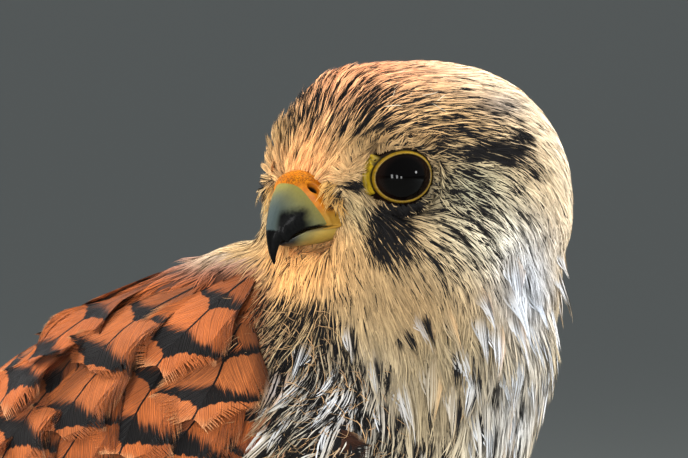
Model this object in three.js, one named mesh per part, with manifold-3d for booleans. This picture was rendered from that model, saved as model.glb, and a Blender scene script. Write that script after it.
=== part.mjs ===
// A common kestrel, life size, standing on the floor with its head turned back over its right shoulder.
// Millimetres, +Z up. The bird faces +X and its left side is +Y. The closed outlines are those of the
// plumage, out to the tips of the feathers. The bird is modelled whole and parted where its parts meet.
import * as THREE from "three";
import { mergeVertices } from "three/addons/utils/BufferGeometryUtils.js";
import Module from "manifold-3d";

const wasm = await Module();
wasm.setup();

// Driving sizes
const GAP = 0.3; // left between pieces that meet
const FINEST = 0.04; // detail smaller than this is smoothed away
const FLOOR = 0; // the level of the soles and of the tail's tip

// Head, in a frame of its own: +X out of the bill, +Y to the bird's left, the origin between the eyes
const HEAD_AT = new THREE.Vector3(36, -9, 184);
const HEAD_TURN = THREE.MathUtils.degToRad(-113); // to the bird's right, about the vertical
const HEAD_NOD = THREE.MathUtils.degToRad(8); // bill down
const EYE_RADIUS = 6;
const EYE_CENTRE = [-0.9, 11, 0]; // of the left eyeball
const EYE_AXIS = THREE.MathUtils.degToRad(62); // from straight ahead
const EYE_OPENING = 4.9; // radius
const FACE_TOP = [12.8, 0, 2.2]; // where the forehead meets the cere
const FACE_NORMAL = [0.917, 0, -0.4];
const CERE_FRONT = 14.4; // where the cere ends on the ridge of the bill

// Where the body is parted, and how far the parting of a wing lies outside the wing
const NECK_TOP = { point: [41, 0, 170], normal: [-0.04, -0.1, 1] };
const NECK_BASE = { point: [34, 0, 148], normal: [0.66, 0, 0.75] };
const WING_MARGIN = 4;

// Legs
const TARSUS_RADIUS = 2.5;
const ANKLE_HEIGHT = 41;
const FOOT_APART = 21; // from the middle of the bird to each foot
const FOOT_FORWARD = 8;
const TOE_RADIUS = 2.5;
const CLAW_LENGTH = 10;

// Looks, one material for each kind of surface
const COLOURS = {
  plumage: { color: 0xc98f5c, roughness: 0.85 },
  flight_feathers: { color: 0x8a5a3a, roughness: 0.75 },
  horn: { color: 0x3c4650, roughness: 0.35 },
  cere: { color: 0xe39a2b, roughness: 0.5 },
  bare_skin: { color: 0xe0b030, roughness: 0.55 },
  eye: { color: 0x120c08, roughness: 0.08 },
  claw: { color: 0x17171a, roughness: 0.3 },
};

// How much of its full size a round end has reached, a share t of the way along
function rounding(t, startShare, endShare) {
  const near = (distance, share) =>
    share > 0 && distance < share ? Math.sqrt(1 - (1 - distance / share) ** 2) : 1;
  return near(t, startShare) * near(1 - t, endShare);
}

// Reads a row of numbers between stations, smoothly, where each station starts with its place along
function between(stations, t) {
  let i = 0;
  while (i < stations.length - 2 && t > stations[i + 1][0]) i += 1;
  const [a, b] = [stations[i], stations[i + 1]];
  const before = stations[Math.max(i - 1, 0)];
  const after = stations[Math.min(i + 2, stations.length - 1)];
  const span = b[0] - a[0];
  const s = THREE.MathUtils.clamp((t - a[0]) / span, 0, 1);
  return a.slice(1).map((value, k) => {
    const startSlope = (span * (b[k + 1] - before[k + 1])) / (b[0] - before[0]);
    const endSlope = (span * (after[k + 1] - value)) / (after[0] - a[0]);
    return (
      value * (2 * s ** 3 - 3 * s ** 2 + 1) +
      b[k + 1] * (3 * s ** 2 - 2 * s ** 3) +
      startSlope * (s ** 3 - 2 * s ** 2 + s) +
      endSlope * (s ** 3 - s ** 2)
    );
  });
}

// A closed body along a line of points, its oval sections read from stations of
// [share of the way, half width, height above the line, depth below it]. sideways is the width's direction,
// grow makes it larger all round, and power squares the section's corners.
function bodyAlong(line, stations, shape = {}) {
  const {
    around = 24,
    along = 18,
    sideways = new THREE.Vector3(0, 1, 0),
    ends = [0.5, 0.5],
    grow = 0,
    power = 2,
  } = shape;
  const curve = new THREE.CatmullRomCurve3(line.map((p) => new THREE.Vector3(...p)));
  const geometry = new THREE.SphereGeometry(1, around, along);
  const position = geometry.getAttribute("position");
  const p = new THREE.Vector3();
  for (let i = 0; i < position.count; i += 1) {
    p.fromBufferAttribute(position, i);
    const t = (1 - p.y) / 2;
    const tangent = curve.getTangentAt(t);
    const side = sideways.clone().addScaledVector(tangent, -sideways.dot(tangent)).normalize();
    const up = tangent.clone().cross(side);
    const [halfWidth, above, below] = between(stations, t);
    const size = rounding(t, ...ends);
    const angle = Math.atan2(p.z, p.x);
    const onPole = Math.hypot(p.x, p.z) < 1e-6;
    const squared = (x) => Math.sign(x) * Math.abs(x) ** (2 / power);
    const across = onPole ? 0 : squared(Math.cos(angle)) * (halfWidth * size + grow);
    const raised = onPole ? 0 : squared(Math.sin(angle));
    const height = raised * ((raised > 0 ? above : below) * size + grow);
    const overshoot = t < 0.5 ? -grow : grow;
    const stretch = onPole ? overshoot : 0;
    p.copy(curve.getPointAt(t))
      .addScaledVector(side, across)
      .addScaledVector(up, height)
      .addScaledVector(tangent, stretch);
    position.setXYZ(i, p.x, p.y, p.z);
  }
  return geometry;
}

// A solid that can be joined and cut, from a closed three.js geometry
function solid(geometry, place = new THREE.Matrix4()) {
  const bare = geometry.clone().applyMatrix4(place);
  bare.deleteAttribute("normal");
  bare.deleteAttribute("uv");
  const { index, attributes } = mergeVertices(bare, 1e-3);
  const triangles = new Uint32Array(index.array);
  const made = () =>
    new wasm.Manifold(
      new wasm.Mesh({ numProp: 3, vertProperties: attributes.position.array, triVerts: triangles }),
    );
  if (made().volume() > 0) return made();
  for (let i = 0; i < triangles.length; i += 3)
    [triangles[i + 1], triangles[i + 2]] = [triangles[i + 2], triangles[i + 1]];
  return made();
}

const join = (...solids) => solids.reduce((a, b) => a.add(b));
const cut = (made, ...cutters) => cutters.reduce((left, cutter) => left.subtract(cutter), made);

// The half space on one side of a plane, as a large block
function blockBeyond(point, normal, place = new THREE.Matrix4(), size = 400) {
  const block = new THREE.BoxGeometry(size, size, size).translate(0, 0, size / 2);
  const turn = new THREE.Quaternion().setFromUnitVectors(
    new THREE.Vector3(0, 0, 1),
    new THREE.Vector3(...normal).normalize(),
  );
  return solid(block.applyQuaternion(turn).translate(...point), place);
}

const materials = Object.fromEntries(
  Object.entries(COLOURS).map(([name, look]) => [
    name,
    new THREE.MeshStandardMaterial({ ...look, metalness: 0 }),
  ]),
);

// A named mesh of the largest body that cutting has left
function node(name, made, material) {
  const bodies = made.asOriginal().simplify(FINEST).decompose();
  const body = bodies.reduce((a, b) => (b.volume() > a.volume() ? b : a));
  const { vertProperties, triVerts } = body.getMesh();
  const geometry = new THREE.BufferGeometry()
    .setAttribute("position", new THREE.BufferAttribute(new Float32Array(vertProperties), 3))
    .setIndex(new THREE.BufferAttribute(new Uint32Array(triVerts), 1));
  geometry.computeVertexNormals();
  const mesh = new THREE.Mesh(geometry, materials[material]);
  mesh.name = name;
  return mesh;
}

// side is 1 for the bird's left and -1 for its right. Paired bodies are made for the left.
const SIDES = [
  ["left", 1],
  ["right", -1],
];
const onSide = (side, geometry) => solid(geometry.scale(1, side, 1));

const headPlace = new THREE.Matrix4().compose(
  HEAD_AT,
  new THREE.Quaternion().setFromEuler(new THREE.Euler(0, HEAD_NOD, HEAD_TURN, "ZYX")),
  new THREE.Vector3(1, 1, 1),
);

// Head: the plumage's outline from the nape to the flat of the face
function headBody(grow = 0) {
  const line = [
    [-39.5, 0, -8],
    [-14, 0, -5.8],
    [4, 0, -3.5],
    [13.3, 0, -0.5],
  ];
  const stations = [
    [0, 23.5, 21, 24],
    [0.25, 24.5, 22, 26],
    [0.4, 24, 23, 26],
    [0.61, 21.5, 22.8, 25],
    [0.79, 18.6, 20.8, 20],
    [0.9, 16.4, 16.5, 15],
    [1, 13.5, 10, 9],
  ];
  const body = bodyAlong(line, stations, { around: 24, along: 16, ends: [0.3, 0.2], grow });
  const top = [FACE_TOP[0] + grow, FACE_TOP[1], FACE_TOP[2]];
  return cut(solid(body, headPlace), blockBeyond(top, FACE_NORMAL, headPlace));
}

function eyeball(side, radius) {
  const ball = new THREE.SphereGeometry(radius, 12, 9);
  return solid(ball.translate(EYE_CENTRE[0], side * EYE_CENTRE[1], EYE_CENTRE[2]), headPlace);
}

// The hollow in the plumage that the eye looks out of, widening outwards
function eyeHollow(side) {
  const [start, reach] = [3, 12];
  const widening = 0.95;
  const mouth = EYE_OPENING + (reach - start) * widening;
  const hollow = new THREE.CylinderGeometry(mouth, EYE_OPENING, reach - start, 14);
  hollow.translate(0, (reach + start) / 2, 0).rotateZ(side * EYE_AXIS - Math.PI / 2);
  return solid(hollow.translate(EYE_CENTRE[0], side * EYE_CENTRE[1], EYE_CENTRE[2]), headPlace);
}

// Upper bill with its cere: over the arch of its ridge to the hooked tip
function upperBill(grow = 0) {
  const line = [
    [4, 0, -2.6],
    [10, 0, -2.3],
    [14, 0, -3.6],
    [16.9, 0, -6.7],
    [18.1, 0, -9.4],
    [18.3, 0, -12.1],
  ];
  const stations = [
    [0, 8.2, 4.8, 4.4],
    [0.3, 6.8, 4.6, 4.4],
    [0.48, 4.9, 3.9, 4.2],
    [0.66, 3.1, 2.3, 3.6],
    [0.8, 2.0, 1.4, 2.0],
    [0.92, 1.2, 0.9, 1.0],
    [1, 0.5, 0.5, 0.4],
  ];
  const shape = { around: 16, along: 16, ends: [0.02, 0.06], grow, power: 2.2 };
  return solid(bodyAlong(line, stations, shape), headPlace);
}

function lowerBill(grow = 0) {
  const line = [
    [4, 0, -8.4],
    [10, 0, -8.6],
    [15.6, 0, -8.3],
  ];
  const stations = [
    [0, 7.6, 2.2, 2.4],
    [0.5, 5.4, 1.9, 2.4],
    [0.85, 3.2, 1.4, 1.8],
    [1, 2, 1, 1.2],
  ];
  const shape = { around: 12, along: 8, ends: [0.02, 0.2], grow };
  return solid(bodyAlong(line, stations, shape), headPlace);
}

// Trunk, from the rump to the base of the neck
function trunkBody(grow = 0) {
  const line = [
    [-76, 0, 80],
    [-44, 0, 102],
    [-14, 0, 122],
    [16, 0, 138],
    [61, 0, 148],
  ];
  const stations = [
    [0, 21, 17, 16],
    [0.25, 26.5, 28.5, 28],
    [0.5, 31.5, 35.5, 36],
    [0.72, 33.5, 36, 40],
    [0.9, 36, 36, 40],
    [1, 34, 34, 40],
  ];
  return solid(bodyAlong(line, stations, { around: 24, along: 16, ends: [0.4, 0.34], grow }));
}

function neckBody(grow = 0) {
  const line = [
    [20, 0, 114],
    [37, 3, 152],
    [42, 11, 190],
  ];
  const stations = [
    [0, 22, 22, 22],
    [0.45, 29, 29, 29],
    [0.75, 26.5, 26.5, 26.5],
    [1, 24, 24, 24],
  ];
  return solid(bodyAlong(line, stations, { around: 20, along: 11, ends: [0.3, 0.2], grow }));
}

// Folded wing: the arm with its coverts and inner feathers, then the long outer feathers
function wingArm(side, grow = 0) {
  const line = [
    [-92, 14, 66],
    [-54, 24, 90],
    [-16, 31.5, 114],
    [18, 33, 133],
    [48, 26.5, 143],
  ];
  const stations = [
    [0, 4, 15, 14],
    [0.25, 7, 24, 20],
    [0.55, 10, 33, 28],
    [0.8, 10, 31, 26],
    [1, 9, 23, 21],
  ];
  const sideways = new THREE.Vector3(0, 1, 0.6);
  const shape = { around: 16, along: 12, sideways, ends: [0.3, 0.3], grow, power: 2.5 };
  return onSide(side, bodyAlong(line, stations, shape));
}

function wingTip(side, grow = 0) {
  const line = [
    [-166, 5, 27],
    [-128, 10, 47],
    [-90, 16, 69],
    [-56, 24, 92],
  ];
  const stations = [
    [0, 1.4, 4, 4],
    [0.2, 2.2, 7, 7],
    [0.5, 2.6, 10, 10],
    [1, 3, 14, 14],
  ];
  const sideways = new THREE.Vector3(0, 1, 0.9);
  const shape = { around: 10, along: 10, sideways, ends: [0.12, 0.1], grow };
  return onSide(side, bodyAlong(line, stations, shape));
}

// Tail: the closed fan of twelve feathers, its tip laid on the floor
function tailBody(grow = 0) {
  const line = [
    [-60, 0, 87],
    [-126, 0, 41],
    [-192, 0, -0.7],
  ];
  const stations = [
    [0, 15, 3, 3.5],
    [0.5, 19, 2.2, 2.4],
    [1, 22, 1.6, 2],
  ];
  const shape = { around: 14, along: 10, ends: [0.1, 0.08], grow, power: 2.6 };
  return solid(bodyAlong(line, stations, shape));
}

function thigh(side) {
  const line = [
    [0, FOOT_APART, ANKLE_HEIGHT - 4],
    [8, FOOT_APART - 1, 70],
    [10, FOOT_APART - 4, 100],
  ];
  const stations = [
    [0, 4.6, 5, 5],
    [0.25, 8.5, 10, 10],
    [0.6, 13, 17, 17],
    [1, 16, 21, 21],
  ];
  return onSide(side, bodyAlong(line, stations, { around: 12, along: 9, ends: [0.1, 0.3] }));
}

function tarsus(side, grow = 0) {
  const line = [
    [FOOT_FORWARD, FOOT_APART, 3.4],
    [2, FOOT_APART, 24],
    [-2, FOOT_APART, ANKLE_HEIGHT + 3],
  ];
  const stations = [
    [0, TARSUS_RADIUS + 2.2, TARSUS_RADIUS + 2, TARSUS_RADIUS + 2.2],
    [0.25, TARSUS_RADIUS, TARSUS_RADIUS, TARSUS_RADIUS + 0.4],
    [0.7, TARSUS_RADIUS, TARSUS_RADIUS, TARSUS_RADIUS + 0.4],
    [1, TARSUS_RADIUS + 0.8, TARSUS_RADIUS + 1, TARSUS_RADIUS + 1],
  ];
  return onSide(side, bodyAlong(line, stations, { around: 10, along: 8, ends: [0.12, 0.1], grow }));
}

// Toes fan out from the foot of each leg. turn is in degrees from straight ahead, outwards.
const TOES = [
  { name: "hind", turn: 172, length: 15 },
  { name: "inner", turn: -32, length: 20 },
  { name: "middle", turn: 4, length: 28 },
  { name: "outer", turn: 42, length: 21 },
];

// Where a distance along a toe of the left foot is, and the way across the toe
function toeFrame(toe) {
  const turn = THREE.MathUtils.degToRad(toe.turn);
  return {
    at: (distance, height) => [
      FOOT_FORWARD + Math.cos(turn) * distance,
      FOOT_APART + Math.sin(turn) * distance,
      height,
    ],
    sideways: new THREE.Vector3(-Math.sin(turn), Math.cos(turn), 0),
  };
}

function toeBody(toe, side, grow = 0) {
  const { at, sideways } = toeFrame(toe);
  const line = [at(2, 3), at(toe.length * 0.5, 2.8), at(toe.length, 1.8)];
  const stations = [
    [0, TOE_RADIUS, TOE_RADIUS, TOE_RADIUS + 1],
    [0.35, TOE_RADIUS - 0.3, TOE_RADIUS - 0.2, TOE_RADIUS + 1],
    [0.6, TOE_RADIUS, TOE_RADIUS, TOE_RADIUS + 1],
    [1, TOE_RADIUS - 0.4, TOE_RADIUS - 0.4, TOE_RADIUS],
  ];
  const shape = { around: 8, along: 7, sideways, ends: [0.1, 0.14], grow };
  return onSide(side, bodyAlong(line, stations, shape));
}

function clawBody(toe, side) {
  const { at, sideways } = toeFrame(toe);
  const line = [
    at(toe.length - 1.5, 2.6),
    at(toe.length + CLAW_LENGTH * 0.35, 4.8),
    at(toe.length + CLAW_LENGTH * 0.7, 3.6),
    at(toe.length + CLAW_LENGTH * 0.86, 0.5),
  ];
  const stations = [
    [0, 1.3, 1.5, 1.5],
    [0.4, 1.1, 1.3, 1.3],
    [1, 0.3, 0.3, 0.3],
  ];
  return onSide(side, bodyAlong(line, stations, { around: 6, along: 5, sideways, ends: [0.05, 0.05] }));
}

const [head, neck, trunk, tail] = [headBody(), neckBody(), trunkBody(), tailBody()];
const tailRoom = tailBody(GAP);
const trunkRoom = trunkBody(GAP);
const aboveFloor = blockBeyond([0, 0, FLOOR], [0, 0, 1]);

// Bill and eyes
function faceNodes() {
  const headRoom = headBody(GAP);
  const upper = cut(upperBill(), headRoom);
  const edge = [1, 0, -0.55];
  const beyond = (gap) => blockBeyond([CERE_FRONT + gap, 0, 0.4], edge, headPlace);
  return [
    node("cere", cut(upper, beyond(0)), "cere"),
    node("bill_upper", upper.intersect(beyond(GAP)), "horn"),
    node("bill_lower", cut(lowerBill(), upperBill(GAP), headRoom), "horn"),
    ...SIDES.map(([name, side]) => node("eye_" + name, eyeball(side, EYE_RADIUS), "eye")),
  ];
}

// The body in one, parted into head, neck, trunk and the arms of the wings
function bodyNodes() {
  const arms = SIDES.map(([, side]) => cut(wingArm(side), tailRoom));
  const hollows = SIDES.map(([, side]) => join(eyeball(side, EYE_RADIUS + GAP), eyeHollow(side)));
  const below = cut(join(neck, trunk, ...arms), upperBill(GAP), lowerBill(GAP));
  const whole = cut(join(head, below), ...hollows);
  const armRooms = SIDES.map(([, side]) => wingArm(side, WING_MARGIN));
  const rest = cut(whole, ...SIDES.map(([, side]) => wingArm(side, WING_MARGIN + GAP)));
  const over = (plane, gap) =>
    blockBeyond([plane.point[0], plane.point[1], plane.point[2] + gap], plane.normal);
  const ahead = rest.intersect(over(NECK_BASE, GAP));
  return [
    node("head", ahead.intersect(over(NECK_TOP, GAP)), "plumage"),
    node("neck", cut(ahead, over(NECK_TOP, 0)), "plumage"),
    node("trunk", cut(rest, over(NECK_BASE, 0)), "plumage"),
    ...SIDES.map(([name], i) => node("wing_" + name, whole.intersect(armRooms[i]), "plumage")),
  ];
}

function quillNodes() {
  const tips = SIDES.map(([, side]) => cut(wingTip(side), trunkRoom, wingArm(side, GAP), tailRoom));
  tips[1] = cut(tips[1], wingTip(1, GAP));
  return [
    node("tail", cut(tail.intersect(aboveFloor), trunkRoom), "flight_feathers"),
    ...SIDES.map(([name], i) => node("wing_tip_" + name, tips[i], "flight_feathers")),
  ];
}

function legNodes(name, side) {
  const aboveAnkle = (gap) => blockBeyond([0, 0, ANKLE_HEIGHT - gap], [0, 0, 1]);
  const upper = cut(thigh(side), trunkRoom, wingArm(side, GAP)).intersect(aboveAnkle(0));
  const shin = cut(tarsus(side).intersect(aboveFloor), aboveAnkle(GAP));
  const nodes = [node("thigh_" + name, upper, "plumage"), node("tarsus_" + name, shin, "bare_skin")];
  const taken = [tarsus(side, GAP)];
  TOES.forEach((toe) => {
    const room = toeBody(toe, side, GAP);
    const flesh = cut(toeBody(toe, side).intersect(aboveFloor), ...taken);
    const claw = cut(clawBody(toe, side).intersect(aboveFloor), room);
    nodes.push(node("toe_" + toe.name + "_" + name, flesh, "bare_skin"));
    nodes.push(node("claw_" + toe.name + "_" + name, claw, "claw"));
    taken.push(room);
  });
  return nodes;
}

const kestrel = new THREE.Group();
kestrel.add(...bodyNodes(), ...faceNodes(), ...quillNodes());
SIDES.forEach(([name, side]) => kestrel.add(...legNodes(name, side)));

// The origin is the middle of the underside of the whole
const box = new THREE.Box3().setFromObject(kestrel);
kestrel.position.set(-(box.min.x + box.max.x) / 2, -(box.min.y + box.max.y) / 2, -box.min.z);

export default kestrel;
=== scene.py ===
import copy
import math

import bmesh
import bpy
import numpy as np
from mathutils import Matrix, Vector
from mathutils.bvhtree import BVHTree


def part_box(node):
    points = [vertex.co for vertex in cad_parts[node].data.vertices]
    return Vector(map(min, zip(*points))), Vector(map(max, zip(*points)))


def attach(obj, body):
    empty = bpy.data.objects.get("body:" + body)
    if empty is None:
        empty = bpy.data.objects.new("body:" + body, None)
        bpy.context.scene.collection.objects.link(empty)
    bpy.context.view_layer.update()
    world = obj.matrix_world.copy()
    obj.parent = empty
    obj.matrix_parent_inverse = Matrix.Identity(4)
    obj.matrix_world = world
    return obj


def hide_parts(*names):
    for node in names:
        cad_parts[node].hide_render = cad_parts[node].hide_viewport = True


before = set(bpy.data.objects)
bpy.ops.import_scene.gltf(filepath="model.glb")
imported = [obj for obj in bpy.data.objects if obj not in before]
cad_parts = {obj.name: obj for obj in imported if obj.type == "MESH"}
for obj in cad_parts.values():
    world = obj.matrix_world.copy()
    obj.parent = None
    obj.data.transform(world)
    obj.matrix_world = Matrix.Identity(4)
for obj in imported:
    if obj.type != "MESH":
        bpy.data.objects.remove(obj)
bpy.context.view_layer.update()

MM = 0.001
SIDES = {"left": 1, "right": -1}
PICTURE = (688, 458)  # width and height in pixels
random = np.random.default_rng(11)

# The head's frame: +X out of the bill, +Y to the bird's left, the origin a little ahead of the eyes
HEAD_NOD = math.radians(8)
EYES_BEHIND = 0.9
EYE_TURN = math.radians(62)  # each eye looks out this far from straight ahead
EYE_RADIUS = 6
EYE_OPENING = (4.7, 3.87)  # half width and half height
EYE_LIFT = 0.1

# Camera
CAMERA_AZIMUTH = math.radians(25)
CAMERA_ELEVATION = math.radians(2)
CAMERA_DISTANCE = 1500
PIXELS_PER_MM = 6
HEAD_PIXEL = (348.7, 174.5)  # where the head's origin stands in the picture
SENSOR = 36

# Skin
SKIN_GRAIN = 1.1  # size of the skin's facets
PARTING = 0.22  # half of the gap between the solids, and a little more
COAT_DEPTH = {"head": 1.5, "neck": 2.4, "trunk": 2.8, "wing": 1.8, "thigh": 1.8, "tarsus": 0.1, "toe": 0.1}
BAKE_PATCH = 0.003  # size of a small feather's patch on the map OFBake
BAKE_FILL = 0.92  # share of its square that a large feather's patch fills


def unit(v):
    v = np.asarray(v, float)
    return v / np.maximum(np.linalg.norm(v, axis=-1, keepdims=True), 1e-9)


def ramp(low, high, x):
    """0 below low, 1 above high, and smooth between. With low above high it falls instead."""
    t = np.clip((x - low) / (high - low), 0, 1)
    return t * t * (3 - 2 * t)


def srgb(*parts):
    """A colour as the eye reads it, 0 to 255, made linear"""
    c = np.array(parts) / 255
    return np.where(c <= 0.04045, c / 12.92, ((c + 0.055) / 1.055) ** 2.4)


def mound(places, centre, reach):
    """1 at the centre, and less the further off, as measured by the reach along each axis"""
    return np.exp(-(((places - centre) / reach) ** 2).sum(-1))


def middle(node):
    low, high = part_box(node)
    return np.array((low + high) / 2) / MM


eye_middles = {side: middle("eye_" + side) for side in SIDES}
across = unit(eye_middles["left"] - eye_middles["right"])
level = np.cross(across, (0, 0, 1))
forward = level * math.cos(HEAD_NOD) - np.array((0, 0, math.sin(HEAD_NOD)))
HEAD_AXES = np.array([forward, across, np.cross(forward, across)])
HEAD_AT = (eye_middles["left"] + eye_middles["right"]) / 2 + forward * EYES_BEHIND


def to_head(places):
    return (places - HEAD_AT) @ HEAD_AXES.T


def from_head(places):
    return HEAD_AT + np.asarray(places, float) @ HEAD_AXES


# Colours of the plumage
CREAM = srgb(224, 212, 186)
BUFF = srgb(230, 186, 136)
PEACH = srgb(236, 170, 122)
FOREHEAD = srgb(255, 190, 124)
WARM_BROW = srgb(198, 164, 116)
RUFOUS = srgb(166, 86, 38)
PALE_RUFOUS = srgb(184, 110, 62)
BROWN = srgb(84, 46, 26)
GREY = srgb(158, 152, 124)
SLATE = srgb(112, 110, 112)
# bluish white of the painted sheen and highlights on the breast and the side of the neck
PAINTED_SHEEN = srgb(208, 214, 224)
DARK = srgb(13, 11, 11)
GOLD = srgb(134, 104, 16)
YELLOW = srgb(206, 172, 36)

# Soft patches laid over each other: centre, reach, colour and strength. Sideways is towards either side.
HEAD_PAINT = [
    ((4, 0, -36), (60, 60, 16), srgb(164, 148, 116), 1.0),
    ((-36, 8, 0), (14, 20, 22), srgb(250, 238, 216), 0.9),
    ((-6, 0, 17), (18, 15, 9), PEACH, 1.0),
    ((-28, 5, 12), (11, 14, 8), srgb(250, 226, 192), 0.9),
    ((-20, 17.7, 9), (6, 4, 2.4), SLATE, 0.7),
    ((11, 0, 6), (6, 9, 8), FOREHEAD, 1.0),
    ((5.5, 10, 7), (5, 6, 4), srgb(176, 142, 96), 0.9),
    ((-8, 17, 7), (9, 7, 5), srgb(190, 152, 104), 0.9),
    ((-9, 20, -4), (10, 8, 7), GREY, 0.9),
    ((9.5, 10, -5), (4.5, 5, 5), srgb(200, 178, 134), 0.9),
    ((14, 0, -13), (10, 10, 7), srgb(240, 180, 112), 1.0),
    ((4, 19, -20), (9, 9, 7), srgb(158, 130, 92), 0.95),
    ((-10, 22, -12), (9, 8, 6), srgb(224, 212, 180), 0.8),
    # painted sheen, bluish white, low on the side of the neck
    ((-17, 24, -21), (8, 8, 10), PAINTED_SHEEN, 0.7),
    ((2, 22, -38), (12, 12, 12), srgb(146, 128, 96), 0.9),
]
# Where the feathers are black, or nearly
HEAD_SHADE = [
    ((2, 14, -5.3), (5.2, 5, 1.9), 1.2),
    ((6, 15, -7.5), (2.4, 5, 3), 1.3),
    ((6.6, 15.6, -11.5), (2, 5, 3), 1.3),
    ((3, 16.5, -8.5), (2.8, 5, 2.6), 0.9),
    ((3.2, 18, -13), (3, 5, 2.6), 0.65),
    ((-6, 19.3, 3.2), (4.5, 5, 1.2), 0.9),
    ((-12, 21, 2.4), (4, 5, 1.8), 1.6),
    ((-16.6, 22.6, 1), (4, 5, 2), 1.7),
    ((-21, 21.5, 3.8), (2.8, 5, 1.6), 1.1),
    ((-21.3, 23.7, -2.6), (2, 5, 1.1), 1.1),
    ((-16.2, 23.4, -4.7), (1.7, 5, 1.2), 1.0),
    ((9, 11.9, -0.4), (2.4, 2.5, 1.0), 1.4),
]
# How thickly the head is marked with dark streaks, and how many of its hairs are dark
HEAD_STREAKS = [
    ((-1, 4, 14), (8, 9, 6), 1.0),
    ((-8, 14, 10.5), (10, 5, 4), 1.0),
    ((-13, 20, 5), (9, 5, 3), 1.0),
    ((-10, 22, -14), (12, 6, 7), 0.35),
    ((-39, 0, 4), (7, 14, 14), 0.6),
]
HEAD_HAIRLINES = [
    ((10, 2, 7), (5, 9, 6), 0.03),
    ((0, 8, 12), (7, 8, 5), 0.62),
    ((-8, 20, -3), (10, 6, 7), 0.6),
    ((-8, 18, 7), (11, 6, 5), 0.55),
    ((-6, 22, -14), (12, 8, 8), 0.24),
    ((12, 4, -13), (8, 9, 7), 0.12),
]


PATCH_GAIN = 1.15  # above 1, so that a strong patch is even in its middle


def painted(places, layers, base):
    """The base colour with soft patches laid over it, one after the other"""
    made = np.tile(np.atleast_1d(np.asarray(base, float)), (len(places), 1))
    for centre, reach, what, strength in layers:
        share = np.clip(strength * PATCH_GAIN * mound(places, centre, reach), 0, 1)[:, None]
        made += (np.asarray(what) - made) * share
    return made


def shaded(places, layers):
    """As painted, but each patch has only a strength, and the result is one number for each place"""
    layers = [(centre, reach, 1.0, strength) for centre, reach, strength in layers]
    return painted(places, layers, 0.0)[:, 0]


def either_side(places):
    """Places with those of the right side mirrored to the left"""
    return places * (1, 0, 1) + np.abs(places) * (0, 1, 0)


# The lie of the feathers: where, and which way they point there. Those of the head come first.
HEAD_LIE = [
    ((12.5, 0, 3), (-0.35, 0, 1)),
    ((9, 2, 6), (-0.6, 0, 0.8)),
    ((7, 5, 7), (-0.65, 0.1, 0.75)),
    ((0.8, 4, 14), (-0.9, 0.2, 0.4)),
    ((-4, 6, 16), (-0.95, 0.25, 0.15)),
    ((0, 12, 11), (-0.85, 0.3, 0.2)),
    ((1, 15, 7.2), (-0.92, 0.4, 0.12)),
    ((-12, 11, 14), (-0.88, 0.3, -0.15)),
    ((-8, 17, 8), (-0.85, 0.3, -0.2)),
    ((-12, 20, 4), (-0.85, 0.25, -0.3)),
    ((-20, 17, 10), (-0.8, 0.3, -0.5)),
    ((-22, 21, 4), (-0.65, 0.2, -0.7)),
    ((-21, 24, -4), (-0.45, 0, -0.9)),
    ((-8.7, 20.7, 1.5), (-0.85, 0.2, -0.35)),
    ((-4.5, 20, -3), (-0.85, 0.2, -0.45)),
    ((-2, 19.3, -6.7), (-0.75, 0.3, -0.55)),
    ((0.5, 19, -10.5), (-0.6, 0.3, -0.7)),
    ((-12.5, 23, -6), (-0.6, 0.05, -0.75)),
    ((-18, 23, -13), (-0.3, 0, -0.95)),
    ((6.3, 14, -5.5), (-0.1, 0.1, -0.95)),
    ((7.3, 15.5, -9.4), (-0.25, 0.2, -0.9)),
    ((4.6, 15.5, -15), (-0.2, 0.3, -0.9)),
    ((10, 11, -2), (0, 0.2, -0.95)),
    ((9, 9, -7), (-0.1, 0.25, -0.95)),
    ((11, 7.5, -1.5), (-0.2, 0.4, -0.85)),
    ((8.2, 8.7, 4), (-0.45, 0, 0.85)),
    ((9.8, 9.2, 1.2), (-0.8, 0.6, 0.1)),
    ((8.5, 11.6, 0.6), (-0.75, 0.5, -0.3)),
    ((5.5, 11.5, 6), (-0.75, 0.4, 0.4)),
    ((13, 0, -11.5), (0.2, 0, -1)),
    ((11, 8, -11), (0, 0.25, -0.95)),
    ((10.5, 12, -16), (0, 0.25, -0.95)),
    ((-15, 0, 17), (-1, 0, -0.05)),
    ((-30, 0, 14), (-0.8, 0, -0.6)),
    ((-39, 0, -4), (-0.15, 0, -1)),
    ((-36, 12, 4), (-0.35, 0, -0.95)),
]
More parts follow.
